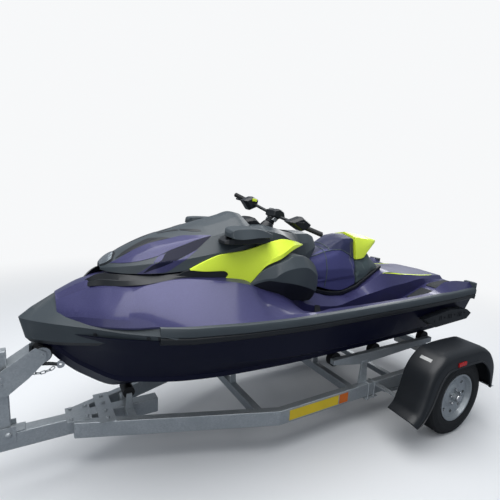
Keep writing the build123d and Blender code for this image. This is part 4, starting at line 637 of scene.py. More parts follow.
hood_half = stations(
    x, (base_y, base_z), (flank_y, flank_z), (shoulder_y, shoulder_z), (ridge_y, ridge_z),
    (0.35 * ridge_y, top), (0, top + 0.001),
)
inside = np.array([(0, -1, 0), (0, -1, -0.3), (0, -0.7, -0.8), (0, -0.4, -1), (0, -0.1, -1), (0, 0, -1)])
hood_full, hood_lining = full_width(hood_half), full_width(hood_half + inside * HOOD_SKIN)
wall_top = hood_full[-1]
wall_foot = wall_top * (1, 1, 0) + (0, 0, 1) * np.minimum(wall_top[:, 2:3], HOOD_FOOT)
hood_wall = np.stack([wall_top, wall_foot])
hood_shell = finish_mesh(
    "hood_shell",
    *join_solids([
        slab_solid(craft(hood_full), craft(hood_lining)),
        slab_solid(craft(hood_wall), craft(hood_wall + (HOOD_SKIN, 0, 0))),
    ]),
    grey_plastic, bevel=0.004, angle=12,
)
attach(hood_shell, "front_lid")
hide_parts("hood")

# Hood insets
# Violet and dark panels set flush into the hood's flanks, with slots over them. Each follows the
# hood's own face: its rows give a station and the two heights of the panel's edges, counted in
# corners of the hood's section from its base up.


def hood_point(x, corner):
    """Point of the hood's port face at a station and a height counted in corners of its section."""
    rows = hood_half[::-1]
    k = min(int(corner), rows.shape[1] - 2)
    low = np.array([np.interp(x, rows[:, k, 0], rows[:, k, axis]) for axis in range(3)])
    high = np.array([np.interp(x, rows[:, k + 1, 0], rows[:, k + 1, axis]) for axis in range(3)])
    return low + (corner - k) * (high - low)


def inset_solid(rows, lift, across=10, depth=0.006):
    """Plate on the hood's face between two edges, raised by lift and set in by depth."""
    rows = smooth_rows(rows, 4)
    grid = np.array([
        [hood_point(x, low + t * (high - low)) for t in np.linspace(0, 1, across)] for x, low, high in rows
    ])
    along, over = np.gradient(grid, axis=0), np.gradient(grid, axis=1)
    normal = np.cross(along, over)
    normal /= np.maximum(np.linalg.norm(normal, axis=2, keepdims=True), 1e-9)
    normal *= np.where(normal[..., 1:2] + normal[..., 2:3] < 0, -1, 1)
    return slab_solid(craft(grid + normal * lift), craft(grid - normal * depth))


lime = gelcoat("lime_gloss", (0.74, 0.93, 0.045), (0.85, 0.99, 0.13), 9.0, metal=0.05)
for name, rows, lift, material, slot in (
    ("hood_inset_violet", [
        (2.845, 1.92, 1.98), (2.781, 1.46, 2.45), (2.713, 1.36, 2.72), (2.644, 1.42, 2.80),
        (2.581, 1.55, 2.74), (2.553, 1.65, 2.70), (2.459, 1.83, 2.68), (2.394, 1.94, 2.45),
        (2.319, 2.02, 2.20), (2.288, 2.04, 2.06),
    ], 0.0022, gel_deck, "deck_gelcoat"),
    ("hood_inset_dark", [
        (2.694, 0.08, 0.16), (2.650, 0.40, 0.82), (2.600, 0.62, 1.14), (2.562, 0.80, 1.60),
        (2.488, 1.15, 1.76), (2.403, 1.40, 1.90), (2.347, 1.70, 1.98), (2.291, 2.00, 2.03),
    ], 0.0014, gel_hull, "hull_gelcoat"),
    ("hood_inset_light", [
        (2.725, 0.02, 0.06), (2.694, 0.03, 0.42), (2.650, 0.05, 0.98), (2.600, 0.07, 1.50),
        (2.581, 0.09, 1.52), (2.560, 0.22, 1.50), (2.534, 0.45, 1.0), (2.506, 0.68, 1.04),
        (2.459, 1.04, 1.22), (2.394, 1.40, 1.44),
    ], 0.0008, gel_deck, "deck_gelcoat"),
    ("hood_inset_recess", [
        (2.815, 2.50, 2.56), (2.775, 2.60, 3.00), (2.700, 2.74, 3.60), (2.625, 2.80, 3.85),
        (2.572, 2.76, 3.25), (2.516, 2.72, 2.76),
    ], 0.0016, black_plastic, "black_moulding"),
    ("hood_slot_front", [
        (2.553, 4.55, 4.75), (2.516, 4.10, 4.70), (2.480, 3.85, 4.30), (2.441, 3.55, 3.80),
    ], 0.0016, black_plastic, "black_moulding"),
    ("hood_slot_rear", [
        (2.431, 3.40, 3.80), (2.384, 2.85, 3.20), (2.328, 2.62, 2.78),
    ], 0.0016, black_plastic, "black_moulding"),
):
    made = finish_mesh(name, *both_hands(inset_solid(rows, lift)), material, bevel=0.0008, angle=40)
    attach(made, "front_lid")

# Trim under the hood
# A black moulded band that stays on the deck when the hood lifts. It runs round under the hood's
# edge with a step along its middle, and ends in a dark gill below each lime panel's front.
# order from the nose, station, top y, z, step y, z, foot y, z
TRIM = [
    (0, 2.992, 0.000, 0.700, 0.000, 0.698, 0.000, 0.690),
    (1, 2.968, 0.040, 0.728, 0.050, 0.712, 0.066, 0.694),
    (2, 2.900, 0.088, 0.766, 0.104, 0.738, 0.116, 0.702),
    (3, 2.825, 0.150, 0.770, 0.178, 0.744, 0.194, 0.712),
    (4, 2.675, 0.235, 0.772, 0.272, 0.758, 0.296, 0.738),
    (5, 2.541, 0.285, 0.780, 0.300, 0.768, 0.308, 0.752),
    (6, 2.400, 0.303, 0.796, 0.311, 0.778, 0.314, 0.752),
    (7, 2.265, 0.306, 0.816, 0.316, 0.790, 0.318, 0.745),
    (8, 2.100, 0.290, 0.838, 0.306, 0.800, 0.312, 0.722),
]
TRIM_WALL = 0.010
trim = smooth_rows(TRIM, 6)
# the band's wall grows towards the hood's middle, which ends short of the nose
HOOD_MIDDLE = 2.6
towards_x = np.minimum(trim[:, 1], HOOD_MIDDLE) - trim[:, 1] - 0.02
towards = np.stack([towards_x, -trim[:, 2] - 0.01, 0 * towards_x], axis=1)
towards *= TRIM_WALL / np.linalg.norm(towards, axis=1, keepdims=True)
trim_top = trim[:, [1, 2, 3]]
trim_step = trim[:, [1, 4, 5]]
trim_foot = trim[:, [1, 6, 7]]
trim_port = np.stack([
    trim_foot, trim_step + (0, 0, -0.004), trim_step + towards * 0.6, trim_top, trim_top + towards,
    trim_foot + towards * 1.5,
], axis=1)
trim_round = tube_solid(craft(np.concatenate([trim_port[::-1], trim_port[1:] * (1, -1, 1)])))
trim_band = finish_mesh("hood_trim", *trim_round, black_plastic, bevel=0.0015, angle=25)
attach(trim_band, "craft_on_trailer")
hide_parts("hood_surround")
# order, then x, y, z of the upper edge and of the lower edge, front to rear
GILL = [
    (0, 2.530, 0.292, 0.772, 2.526, 0.294, 0.768),
    (1, 2.457, 0.308, 0.800, 2.455, 0.310, 0.748),
    (2, 2.353, 0.314, 0.790, 2.372, 0.316, 0.724),
    (3, 2.247, 0.316, 0.785, 2.268, 0.318, 0.712),
    (4, 2.214, 0.317, 0.762, 2.218, 0.317, 0.752),
]
gill_face = edge_grid(GILL, 4)
gill_plates = both_hands(slab_solid(craft(gill_face), craft(gill_face - (0, 0.016, 0))))
gill = finish_mesh("trim_gill", *gill_plates, black_plastic, bevel=0.002, angle=25)
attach(gill, "craft_on_trailer")

# Nose light
# A clear moulded lens over a bright reflector bowl, set in a black bezel on the hood's nose. The
# lens has upright flutes on its inner face.


def fluted(finish, scale, strength, depth):
    """Lays straight grooves along the craft over a finish, as relief."""
    tree = finish.node_tree
    place = feed(tree, "TexCoord", "Object")
    wave = feed(tree, "TexWave", "Fac", bands_direction="Y", Scale=scale, Vector=place)
    drive(finish, Normal=feed(tree, "Bump", "Normal", Strength=strength, Distance=depth, Height=wave))


lens_finish = plain_finish(
    "light_lens", (0.30, 0.34, 0.37), 0.16, Metallic=0.85, Coat_Weight=0.8, Coat_Roughness=0.02, Coat_IOR=1.5,
)
fluted(lens_finish, 40, 0.6, 0.002)
for name, rows, lift, material, slot in (
    ("nose_light_bezel", [(2.892, 2.2, 4.99), (2.872, 1.9, 4.99), (2.836, 2.2, 4.99), (2.806, 3.8, 4.99)],
     0.0030, black_plastic, "black_moulding"),
    ("nose_light_lens", [(2.889, 2.5, 4.97), (2.868, 2.2, 4.97), (2.838, 2.5, 4.97), (2.814, 4.1, 4.97)],
     0.0060, lens_finish, "grey_moulding"),
):
    made = finish_mesh(name, *both_hands(inset_solid(rows, lift, across=14)), material, bevel=0.001, angle=40)
    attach(made, "front_lid")

# Console
# The body between hood and seat: a dark moulded cover that runs back over the front of the seat,
# with the gauge on it and a pocket let into its top, whose lid is a piece of its own.
# station, then y and z of: base, wall, shoulder, ridge, ledge's outer and inner edge; pocket z; middle z
CONSOLE = [
    (1.985, 0.240, 0.640, 0.235, 0.900, 0.205, 0.990, 0.130, 1.020, 0.094, 1.022, 0.080, 1.023, 1.023, 1.024),
    (1.900, 0.235, 0.640, 0.230, 0.900, 0.200, 0.995, 0.130, 1.022, 0.094, 1.025, 0.080, 1.026, 1.026, 1.028),
    (1.830, 0.225, 0.640, 0.220, 0.900, 0.195, 0.985, 0.125, 1.012, 0.094, 1.015, 0.080, 1.016, 1.016, 1.018),
    (1.735, 0.210, 0.600, 0.205, 0.880, 0.185, 0.960, 0.115, 0.992, 0.094, 0.994, 0.080, 0.995, 0.995, 0.998),
    (1.706, 0.205, 0.593, 0.200, 0.869, 0.180, 0.946, 0.110, 0.982, 0.094, 0.984, 0.080, 0.985, 0.985, 0.988),
    (1.706, 0.205, 0.593, 0.200, 0.869, 0.180, 0.946, 0.110, 0.982, 0.094, 0.846, 0.080, 0.846, 0.846, 0.846),
    (1.692, 0.202, 0.590, 0.197, 0.864, 0.178, 0.938, 0.108, 0.978, 0.094, 0.846, 0.080, 0.846, 0.846, 0.846),
    (1.692, 0.202, 0.590, 0.197, 0.864, 0.178, 0.938, 0.108, 0.978, 0.094, 0.846, 0.080, 0.846, 0.730, 0.730),
    (1.608, 0.187, 0.586, 0.183, 0.828, 0.163, 0.907, 0.104, 0.962, 0.094, 0.846, 0.080, 0.846, 0.730, 0.730),
    (1.608, 0.187, 0.586, 0.183, 0.828, 0.163, 0.907, 0.104, 0.962, 0.094, 0.846, 0.080, 0.846, 0.846, 0.846),
    (1.596, 0.183, 0.586, 0.180, 0.820, 0.160, 0.904, 0.104, 0.960, 0.094, 0.846, 0.080, 0.846, 0.846, 0.846),
    (1.596, 0.183, 0.586, 0.180, 0.820, 0.160, 0.904, 0.104, 0.960, 0.094, 0.962, 0.080, 0.963, 0.963, 0.968),
    (1.560, 0.175, 0.590, 0.172, 0.800, 0.150, 0.890, 0.100, 0.955, 0.085, 0.958, 0.070, 0.960, 0.960, 0.966),
    (1.465, 0.150, 0.780, 0.150, 0.835, 0.130, 0.890, 0.090, 0.950, 0.075, 0.953, 0.060, 0.955, 0.955, 0.960),
    (1.400, 0.115, 0.835, 0.120, 0.860, 0.105, 0.890, 0.080, 0.925, 0.065, 0.928, 0.050, 0.930, 0.930, 0.935),
    (1.383, 0.060, 0.850, 0.070, 0.868, 0.065, 0.886, 0.050, 0.908, 0.040, 0.909, 0.030, 0.910, 0.910, 0.912),
]


def section_rings(table, per=6):
    """Closed rings across the craft from rows of a station, pairs of y and z going up the port side,
    and the height of the top on the centre line."""
    x, *corners, top = smooth_rows(table, per).T
    port = list(zip(corners[::2], corners[1::2]))
    return stations(x, *port, (0, top), *((-y, z) for y, z in port[::-1]))


POCKET_INSET = 0.001
console_rows = [(*row[:13], row[11] - POCKET_INSET, *row[13:]) for row in CONSOLE]
console_solid = tube_solid(craft(section_rings(console_rows)))
console_cover = finish_mesh("console_cover", *console_solid, grey_plastic, bevel=0.003, angle=16)
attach(console_cover, "craft_on_trailer")
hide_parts("console")
# station, then y and z of: base, wall, shoulder; middle z
GAUGE = [
    (1.992, 0.056, 1.012, 0.060, 1.030, 0.050, 1.042, 1.045),
    (1.945, 0.076, 1.012, 0.080, 1.046, 0.066, 1.064, 1.068),
    (1.905, 0.080, 1.012, 0.084, 1.050, 0.070, 1.068, 1.072),
    (1.896, 0.080, 1.012, 0.083, 1.046, 0.069, 1.062, 1.064),
    (1.850, 0.072, 1.006, 0.074, 1.020, 0.062, 1.026, 1.028),
]
gauge_solid = tube_solid(craft(section_rings(GAUGE, 4)))
gauge_case = finish_mesh("gauge_case", *gauge_solid, black_plastic, bevel=0.003, angle=18)
screen_edges = ((1.893, 0.056, 1.0655), (1.856, 0.050, 1.0345))
gauge_face = np.array([[(x, y, z) for y in (-half, half)] for x, half, z in screen_edges])
gauge_pane = slab_solid(craft(gauge_face), craft(gauge_face - (0.004, 0, 0.006)))
gauge_glass = plain_finish("gauge_glass", (0.010, 0.014, 0.018), 0.08, Coat_Weight=1.0, Coat_Roughness=0.02)
gauge_screen = finish_mesh("gauge_screen", *gauge_pane, gauge_glass, bevel=0.001, angle=40)
for piece in (gauge_case, gauge_screen):
    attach(piece, "craft_on_trailer")

# Handlebar
# A steel bar in rubber grips, turned to starboard. Black faceted switch housings close its ends, with
# lime tabs beside them, and a bolted clamp holds its middle on a pale forked steering head.
# x and z of a housing's corners at its bar end's distance from the centre line
PODS = {
    "starboard": (-0.202, [(1.863, 1.170), (1.786, 1.200), (1.732, 1.176), (1.744, 1.120), (1.808, 1.096)]),
    "port": (0.202, [(1.740, 1.058), (1.625, 1.092), (1.541, 1.036), (1.560, 1.004), (1.625, 0.990)]),
}
# a housing's levels as distance out from its middle and scale; a tab's corners and a lever's line
# from the housing's heart
HOUSING = ((-0.052, 0.62), (-0.034, 0.96), (0.026, 1.0), (0.050, 0.70))
TAB = np.array([(-0.020, 0.030), (0.018, 0.034), (0.014, 0.012), (-0.018, 0.008)])
LEVER = ((0.052, -0.02, 0.012), (0.062, 0.03, 0.016), (0.060, 0.08, 0.018), (0.054, 0.118, 0.020))


def side_plates(corners, levels):
    """Solid across the craft from corners as x and z, and levels as y and the outline's scale there."""
    corners = np.array(corners)
    heart = corners.mean(axis=0)
    rings = []
    for y, scale in levels:
        x, z = (heart + scale * (corners - heart)).T
        rings.append(np.stack([x, y + 0 * x, z], axis=1))
    return tube_solid(craft(rings))


def disc_solid(heart, axis, levels, count=20):
    """Solid round an axis through heart: levels as distance along the axis and radius."""
    axis = np.array(axis, float) / np.linalg.norm(axis)
    aside = np.cross(axis, (0, 1, 0) if abs(axis[1]) < 0.9 else (1, 0, 0))
    aside /= np.linalg.norm(aside)
    over = np.cross(axis, aside)
    turn = np.arange(count) * 2 * pi / count
    spokes = np.cos(turn)[:, None] * aside + np.sin(turn)[:, None] * over
    rings = [np.asarray(heart, float) + axis * along + spokes * radius for along, radius in levels]
    return tube_solid(craft(rings))


def worn_metal(name, colour, rough, metal, grain, relief=0.0004):
    """Metal in use: clouded tone and gloss over a fine grain."""
    made = plain_finish(name, colour, rough, Metallic=metal)
    tree = made.node_tree
    place = feed(tree, "TexCoord", "Object")
    cloud = feed(tree, "TexNoise", "Fac", Scale=14, Detail=5, Vector=place)
    tone = between(tree, cloud, [0.72 * c for c in colour], [min(1.2 * c, 0.95) for c in colour])
    gloss = feed(tree, "MapRange", "Result", Value=cloud, To_Min=max(rough - 0.08, 0.05), To_Max=rough + 0.12)
    fine = feed(tree, "TexNoise", "Fac", Scale=grain, Vector=place)
    bump = feed(tree, "Bump", "Normal", Strength=0.25, Distance=relief, Height=fine)
    drive(made, Base_Color=tone, Roughness=gloss, Normal=bump)
    return made


def steered(name, solid, material, bevel, angle=20):
    """A piece that turns with the steering."""
    made = finish_mesh(name, *solid, material, bevel=bevel, angle=angle)
    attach(made, "steering")
    return made


for hand, (middle_y, corners) in PODS.items():
    side = np.sign(middle_y)
    heart = np.mean(corners, axis=0)
    levels = [(middle_y + out, scale) for out, scale in HOUSING]
    housing = side_plates(corners, levels)
    steered(f"switch_housing_{hand}", housing, black_plastic, 0.005)
    tab_y = middle_y - 0.058 * side
    tab = side_plates(TAB + heart, [(tab_y - 0.012, 0.8), (tab_y, 1.0), (tab_y + 0.012, 0.8)])
    steered(f"lime_tab_{hand}", tab, lime, 0.002)
    blade = np.array([
        [(heart[0] + dx, middle_y + side * dy, heart[1] + dz + t) for t in (-0.006, 0.006)]
        for dx, dy, dz in LEVER
    ])
    lever = slab_solid(craft(blade), craft(blade + (0.007, 0, 0)))
    steered(f"lever_{hand}", lever, black_plastic, 0.002)
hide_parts("control_pods")
clamp = side_plates(
    [(1.640, 1.066), (1.650, 1.104), (1.690, 1.126), (1.738, 1.118), (1.744, 1.078), (1.700, 1.054)],
    [(-0.062, 0.80), (-0.050, 1.0), (0.050, 1.0), (0.062, 0.80)],
)
steered("bar_clamp", clamp, black_plastic, 0.004)
bolts = [
    disc_solid((x, y, z), (-0.35, 0, 0.94), ((-0.004, 0.0095), (0.004, 0.0095), (0.006, 0.007)), 6)
    for x, z in ((1.664, 1.113), (1.716, 1.124)) for y in (-0.030, 0.030)
]
bright_steel = worn_metal("bright_steel", (0.58, 0.59, 0.60), 0.24, 1.0, 500)
steered("clamp_bolts", join_solids(bolts), bright_steel, 0.0008, 30)
fork = [
    side_plates(
        [(1.676, 1.070), (1.716, 1.082), (1.744, 1.052), (1.715, 1.0315)],
        [(y - 0.008, 0.9), (y - 0.005, 1.0), (y + 0.005, 1.0), (y + 0.008, 0.9)],
    )
    for y in (-0.040, 0.040)
]
cast_head = worn_metal("steering_head_alloy", (0.50, 0.52, 0.53), 0.42, 0.8, 350)
steered("steering_head", join_solids(fork), cast_head, 0.003, 25)
COLUMN_AXIS = (-0.5736, 0, 0.8192)
COLUMN_FOOT = (1.765, 0, 0.991)
COLLAR = ((-0.02, 0.050), (0.010, 0.048), (0.034, 0.040), (0.040, 0.036))
BOOT = (
    (0.045, 0.034), (0.050, 0.036), (0.055, 0.030), (0.061, 0.034), (0.067, 0.028), (0.073, 0.032),
    (0.079, 0.027), (0.088, 0.027),
)
collar = disc_solid(COLUMN_FOOT, COLUMN_AXIS, COLLAR, 32)
column_collar = finish_mesh("column_collar", *collar, black_plastic, bevel=0.002, angle=30)
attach(column_collar, "craft_on_trailer")
boot = disc_solid(COLUMN_FOOT, COLUMN_AXIS, BOOT, 32)
steered("steering_boot", boot, black_plastic, 0.001, 60)

# Side panels
# Glossy lime panels either side of the console, folded along a crease, with a notch below.
# order, then x, y, z of: top, crease and bottom edge, from the front tip to the rear tip
PANEL = [
    (0, 2.452, 0.307, 0.806, 2.451, 0.310, 0.803, 2.450, 0.312, 0.800),
    (1, 2.356, 0.306, 0.848, 2.352, 0.317, 0.812, 2.353, 0.319, 0.787),
    (2, 2.261, 0.306, 0.878, 2.265, 0.320, 0.812, 2.248, 0.321, 0.783),
    (3, 2.190, 0.306, 0.886, 2.215, 0.322, 0.790, 2.216, 0.321, 0.757),
    (4, 2.108, 0.306, 0.894, 2.180, 0.323, 0.770, 2.260, 0.321, 0.710),
    (5, 2.060, 0.306, 0.904, 2.130, 0.324, 0.772, 2.171, 0.323, 0.697),
    (6, 2.010, 0.304, 0.916, 2.080, 0.327, 0.780, 2.078, 0.330, 0.691),
    (7, 1.953, 0.297, 0.930, 1.976, 0.332, 0.820, 2.029, 0.335, 0.730),
    (8, 1.870, 0.260, 0.935, 1.910, 0.330, 0.838, 1.957, 0.340, 0.799),
    (9, 1.792, 0.250, 0.945, 1.834, 0.322, 0.860, 1.854, 0.330, 0.828),
    (10, 1.730, 0.243, 0.938, 1.780, 0.305, 0.880, 1.790, 0.310, 0.850),
    (11, 1.668, 0.230, 0.925, 1.700, 0.270, 0.905, 1.700, 0.275, 0.880),
    (12, 1.586, 0.210, 0.897, 1.588, 0.212, 0.895, 1.593, 0.216, 0.892),
]
panel_face = edge_grid(PANEL, 5)
panels = both_hands(slab_solid(craft(panel_face), craft(panel_face - (0, 0.014, 0))))
lime_panel = finish_mesh("lime_panel", *panels, lime, bevel=0.002, angle=14)
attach(lime_panel, "craft_on_trailer")
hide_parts("side_panels")

# Knee pods
# Dark pads that a rider's knees press on: a light upper facet, a broad main one and a lower one.
# order, then x, y, z of: rim top, facet top, facet bottom, rim bottom, front to rear
POD = [
    (0, 2.076, 0.340, 0.684, 2.072, 0.342, 0.680, 2.070, 0.342, 0.675, 2.068, 0.340, 0.655),
    (1, 2.042, 0.345, 0.720, 2.033, 0.356, 0.712, 2.030, 0.360, 0.697, 2.040, 0.340, 0.632),
    (2, 1.985, 0.350, 0.772, 1.970, 0.378, 0.724, 1.960, 0.380, 0.712, 1.990, 0.340, 0.612),
    (3, 1.899, 0.350, 0.800, 1.920, 0.388, 0.728, 1.930, 0.386, 0.708, 1.920, 0.338, 0.590),
    (4, 1.850, 0.348, 0.812, 1.881, 0.390, 0.750, 1.870, 0.388, 0.695, 1.834, 0.335, 0.566),
    (5, 1.793, 0.340, 0.827, 1.805, 0.385, 0.771, 1.797, 0.385, 0.680, 1.750, 0.330, 0.548),
    (6, 1.736, 0.330, 0.846, 1.730, 0.378, 0.776, 1.710, 0.375, 0.655, 1.660, 0.320, 0.530),
    (7, 1.680, 0.325, 0.843, 1.662, 0.370, 0.770, 1.631, 0.360, 0.627, 1.610, 0.310, 0.520),
    (8, 1.620, 0.310, 0.824, 1.600, 0.350, 0.745, 1.580, 0.345, 0.605, 1.572, 0.300, 0.517),
    (9, 1.540, 0.300, 0.764, 1.544, 0.330, 0.702, 1.535, 0.325, 0.585, 1.545, 0.300, 0.531),
    (10, 1.504, 0.300, 0.692, 1.507, 0.305, 0.660, 1.507, 0.305, 0.630, 1.504, 0.300, 0.605),
]
pod_face = edge_grid(POD, 5)
pod_back = pod_face * (1, 0, 1) + (0, 0.205, 0)
pods = both_hands(slab_solid(craft(pod_face), craft(pod_back)))
knee_pod = finish_mesh("knee_pod", *pods, grey_plastic, bevel=0.005, angle=14)
# painted shade: the pod's facets that face down are given the black moulding
painted_shade_below(knee_pod, -0.22)
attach(knee_pod, "craft_on_trailer")
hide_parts("knee_pods")

# Mirrors
# Faceted housings on the hood's rear shoulders, each on a dark foot.
# order, x, then y and z of: outer low, outer high, inner high, inner low
MIRROR = [
    (0, 2.236, 0.372, 0.990, 0.366, 1.012, 0.300, 1.016, 0.296, 0.992),
    (1, 2.222, 0.398, 0.984, 0.380, 1.030, 0.270, 1.036, 0.262, 0.986),
    (2, 2.160, 0.400, 0.977, 0.366, 1.036, 0.240, 1.040, 0.232, 0.980),
    (3, 2.050, 0.382, 0.980, 0.356, 1.032, 0.225, 1.036, 0.218, 0.978),
    (4, 1.970, 0.356, 0.974, 0.342, 1.012, 0.222, 1.014, 0.216, 0.968),
    (5, 1.920, 0.336, 0.972, 0.330, 0.991, 0.225, 0.992, 0.220, 0.966),
]


def four_corner_solid(table, per):
    """Both hands of a bar with four corners, from an order number, x, and y and z of each corner."""
    _, x, *corners = smooth_rows(table, per).T
    return both_hands(tube_solid(craft(stations(x, *zip(corners[::2], corners[1::2])))))


mirror_case = finish_mesh("mirror_case", *four_corner_solid(MIRROR, 3), grey_plastic, bevel=0.006, angle=20)
MIRROR_FOOT = [
    (0, 2.252, 0.325, 0.944, 0.320, 0.960, 0.240, 0.962, 0.240, 0.944),
    (1, 2.200, 0.352, 0.942, 0.350, 0.978, 0.215, 0.984, 0.215, 0.942),
    (2, 2.000, 0.345, 0.940, 0.342, 0.976, 0.205, 0.980, 0.205, 0.940),
    (3, 1.928, 0.322, 0.942, 0.318, 0.968, 0.205, 0.968, 0.205, 0.942),
]
mirror_feet = four_corner_solid(MIRROR_FOOT, 2)
mirror_foot = finish_mesh("mirror_foot", *mirror_feet, black_plastic, bevel=0.004, angle=20)
for piece, slot in ((mirror_case, "grey_moulding"), (mirror_foot, "black_moulding")):
    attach(piece, "front_lid")
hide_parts("mirrors")

# Seat
# A saddle of foam under sewn vinyl: violet flanks and a navy top, which rises to a hump behind the
# rider, with dark piping along the seams.
# station, bottom y, z, waist y, z, seam y, z, shoulder y, z, top z
SEAT = [
    (1.560, 0.160, 0.590, 0.148, 0.690, 0.120, 0.780, 0.075, 0.812, 0.818),
    (1.421, 0.188, 0.566, 0.176, 0.690, 0.128, 0.795, 0.085, 0.822, 0.828),
    (1.300, 0.190, 0.530, 0.182, 0.690, 0.130, 0.826, 0.092, 0.838, 0.842),
    (1.250, 0.189, 0.518, 0.182, 0.690, 0.133, 0.830, 0.102, 0.858, 0.868),
    (1.170, 0.186, 0.508, 0.182, 0.690, 0.141, 0.826, 0.113, 0.895, 0.912),
    (1.110, 0.184, 0.512, 0.181, 0.680, 0.149, 0.800, 0.117, 0.918, 0.938),
    (1.040, 0.181, 0.532, 0.178, 0.680, 0.153, 0.765, 0.121, 0.918, 0.943),
    (1.004, 0.180, 0.545, 0.177, 0.690, 0.155, 0.745, 0.120, 0.910, 0.941),
]


def vinyl(name, colour, rough):
    """Sewn vinyl with a small pebbled grain."""
    made = plain_finish(name, colour, rough, Specular_IOR_Level=0.4, Sheen_Weight=0.15, Sheen_Roughness=0.4)
    tree = made.node_tree
    pebble = feed(tree, "TexVoronoi", "Distance", Scale=420, Vector=feed(tree, "TexCoord", "Object"))
    drive(made, Normal=feed(tree, "Bump", "Normal", Strength=0.25, Distance=0.0006, Height=pebble))
    return made


SWELL_STEPS = 20


def stuffed(piece, held_below, voxel=0.008, smaller=0.005, cap=0.009):
    """Foam in a sewn cover. The piece starts slightly smaller and swells under pressure, with its base held;
    no point moves further than the cap."""
    graph = bpy.context.evaluated_depsgraph_get()
    skin = piece.modifiers.new("skin", "REMESH")
    skin.mode = "VOXEL"
    skin.voxel_size = voxel
    graph.update()
    mesh = bpy.data.meshes.new_from_object(piece.evaluated_get(graph), depsgraph=graph)
    piece.modifiers.clear()
    count = len(mesh.vertices)
    start = np.empty(count * 3)
    mesh.vertices.foreach_get("co", start)
    start = start.reshape(-1, 3)
    normals = np.empty(count * 3)
    mesh.vertex_normals.foreach_get("vector", normals)
    start -= normals.reshape(-1, 3) * smaller
    mesh.vertices.foreach_set("co", start.ravel())
    mesh.update()
    piece.data = mesh
    held = piece.vertex_groups.new(name="held")
    held.add([int(k) for k in np.flatnonzero(start[:, 2] < held_below)], 1.0, "REPLACE")
    cover = piece.modifiers.new("cover", "CLOTH")
    cover.settings.quality = 4
    cover.settings.use_pressure = True
    cover.settings.uniform_pressure_force = 4
    cover.settings.vertex_group_mass = "held"
    cover.settings.effector_weights.gravity = 0
    for step in range(1, SWELL_STEPS + 1):
        scene.frame_set(step)
    graph = bpy.context.evaluated_depsgraph_get()
    swollen = np.empty(count * 3)
    piece.evaluated_get(graph).data.vertices.foreach_get("co", swollen)
    move = swollen.reshape(-1, 3) - start
    far = np.maximum(np.linalg.norm(move, axis=1, keepdims=True), 1e-9)
    grown = start + move * np.minimum(1, cap / far)
    piece.modifiers.clear()
    scene.frame_set(1)
    mesh.vertices.foreach_set("co", grown.ravel())
    mesh.update()
    mesh.shade_smooth()
    finer = piece.modifiers.new("finer", "SUBSURF")
    finer.levels = 1
    finer.render_levels = 1


def bar_along(points, guide, radius, count):
    """Solid of a round bar along points. Each ring turns about the path, from square to it and the guide."""
    along = np.gradient(points, axis=0)
    along /= np.linalg.norm(along, axis=1, keepdims=True)
    aside = np.cross(along, guide)
    aside /= np.linalg.norm(aside, axis=1, keepdims=True)
    over = np.cross(along, aside)
    turn = np.arange(count) * 2 * pi / count
    spokes = np.cos(turn)[:, None] * aside[:, None] + np.sin(turn)[:, None] * over[:, None]
    return tube_solid(points[:, None] + radius * spokes)


def piping(path, pad, radius=0.0032):
    """Sewn piping laid along a path on a pad's surface."""
    laid = []
    for point in craft(path):
        _, place, normal, _ = pad.closest_point_on_mesh(Vector(point))
        laid.append(place + normal * radius * 0.4)
    return bar_along(np.array(laid), (0, 0.3, 1), radius, 8)


SEAT_HELD = 0.60
seat_violet = vinyl("seat_violet_vinyl", (0.040, 0.042, 0.150), 0.5)
seat_navy = vinyl("seat_navy_vinyl", (0.012, 0.016, 0.060), 0.5)
seat_dark = vinyl("seat_dark_vinyl", (0.055, 0.080, 0.085), 0.55)
seat_solid = tube_solid(craft(section_rings(SEAT, 8)))
seat_pad = finish_mesh("seat_pad", *seat_solid, seat_violet, bevel=0.010, angle=20)
seat_pad.data.materials.append(seat_navy)
stuffed(seat_pad, keel_z + SEAT_HELD)
seams = [(row[0], row[5], row[6]) for row in SEAT]
seam_x, _, seam_z = np.array(seams[::-1]).T
for face in seat_pad.data.polygons:
    middle = face.center - Vector((stern_x, 0, keel_z))
    if middle.z > np.interp(middle.x, seam_x, seam_z) - 0.001:
        face.material_index = 1
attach(seat_pad, "craft_on_trailer")
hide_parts("seat")
# order, x, y, z of the seams over the seat's front and its hump, from the side to the middle
SEAM_FRONT = [
    (0, 1.330, 0.186, 0.560), (1, 1.322, 0.186, 0.680), (2, 1.310, 0.150, 0.790), (3, 1.306, 0.100, 0.838),
    (4, 1.305, 0.0, 0.843),
]
SEAM_TOP = [(0, 1.262, 0.140, 0.824), (1, 1.262, 0.110, 0.852), (2, 1.262, 0.0, 0.862)]
seam_paths = (smooth_rows(seams, 8), edge_grid(SEAM_FRONT, 6)[:, 0], edge_grid(SEAM_TOP, 6)[:, 0])
pipes = [piping(path * (1, side, 1), seat_pad) for path in seam_paths for side in (1, -1)]
seat_piping = finish_mesh("seat_piping", *join_solids(pipes), seat_dark, angle=60)
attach(seat_piping, "craft_on_trailer")

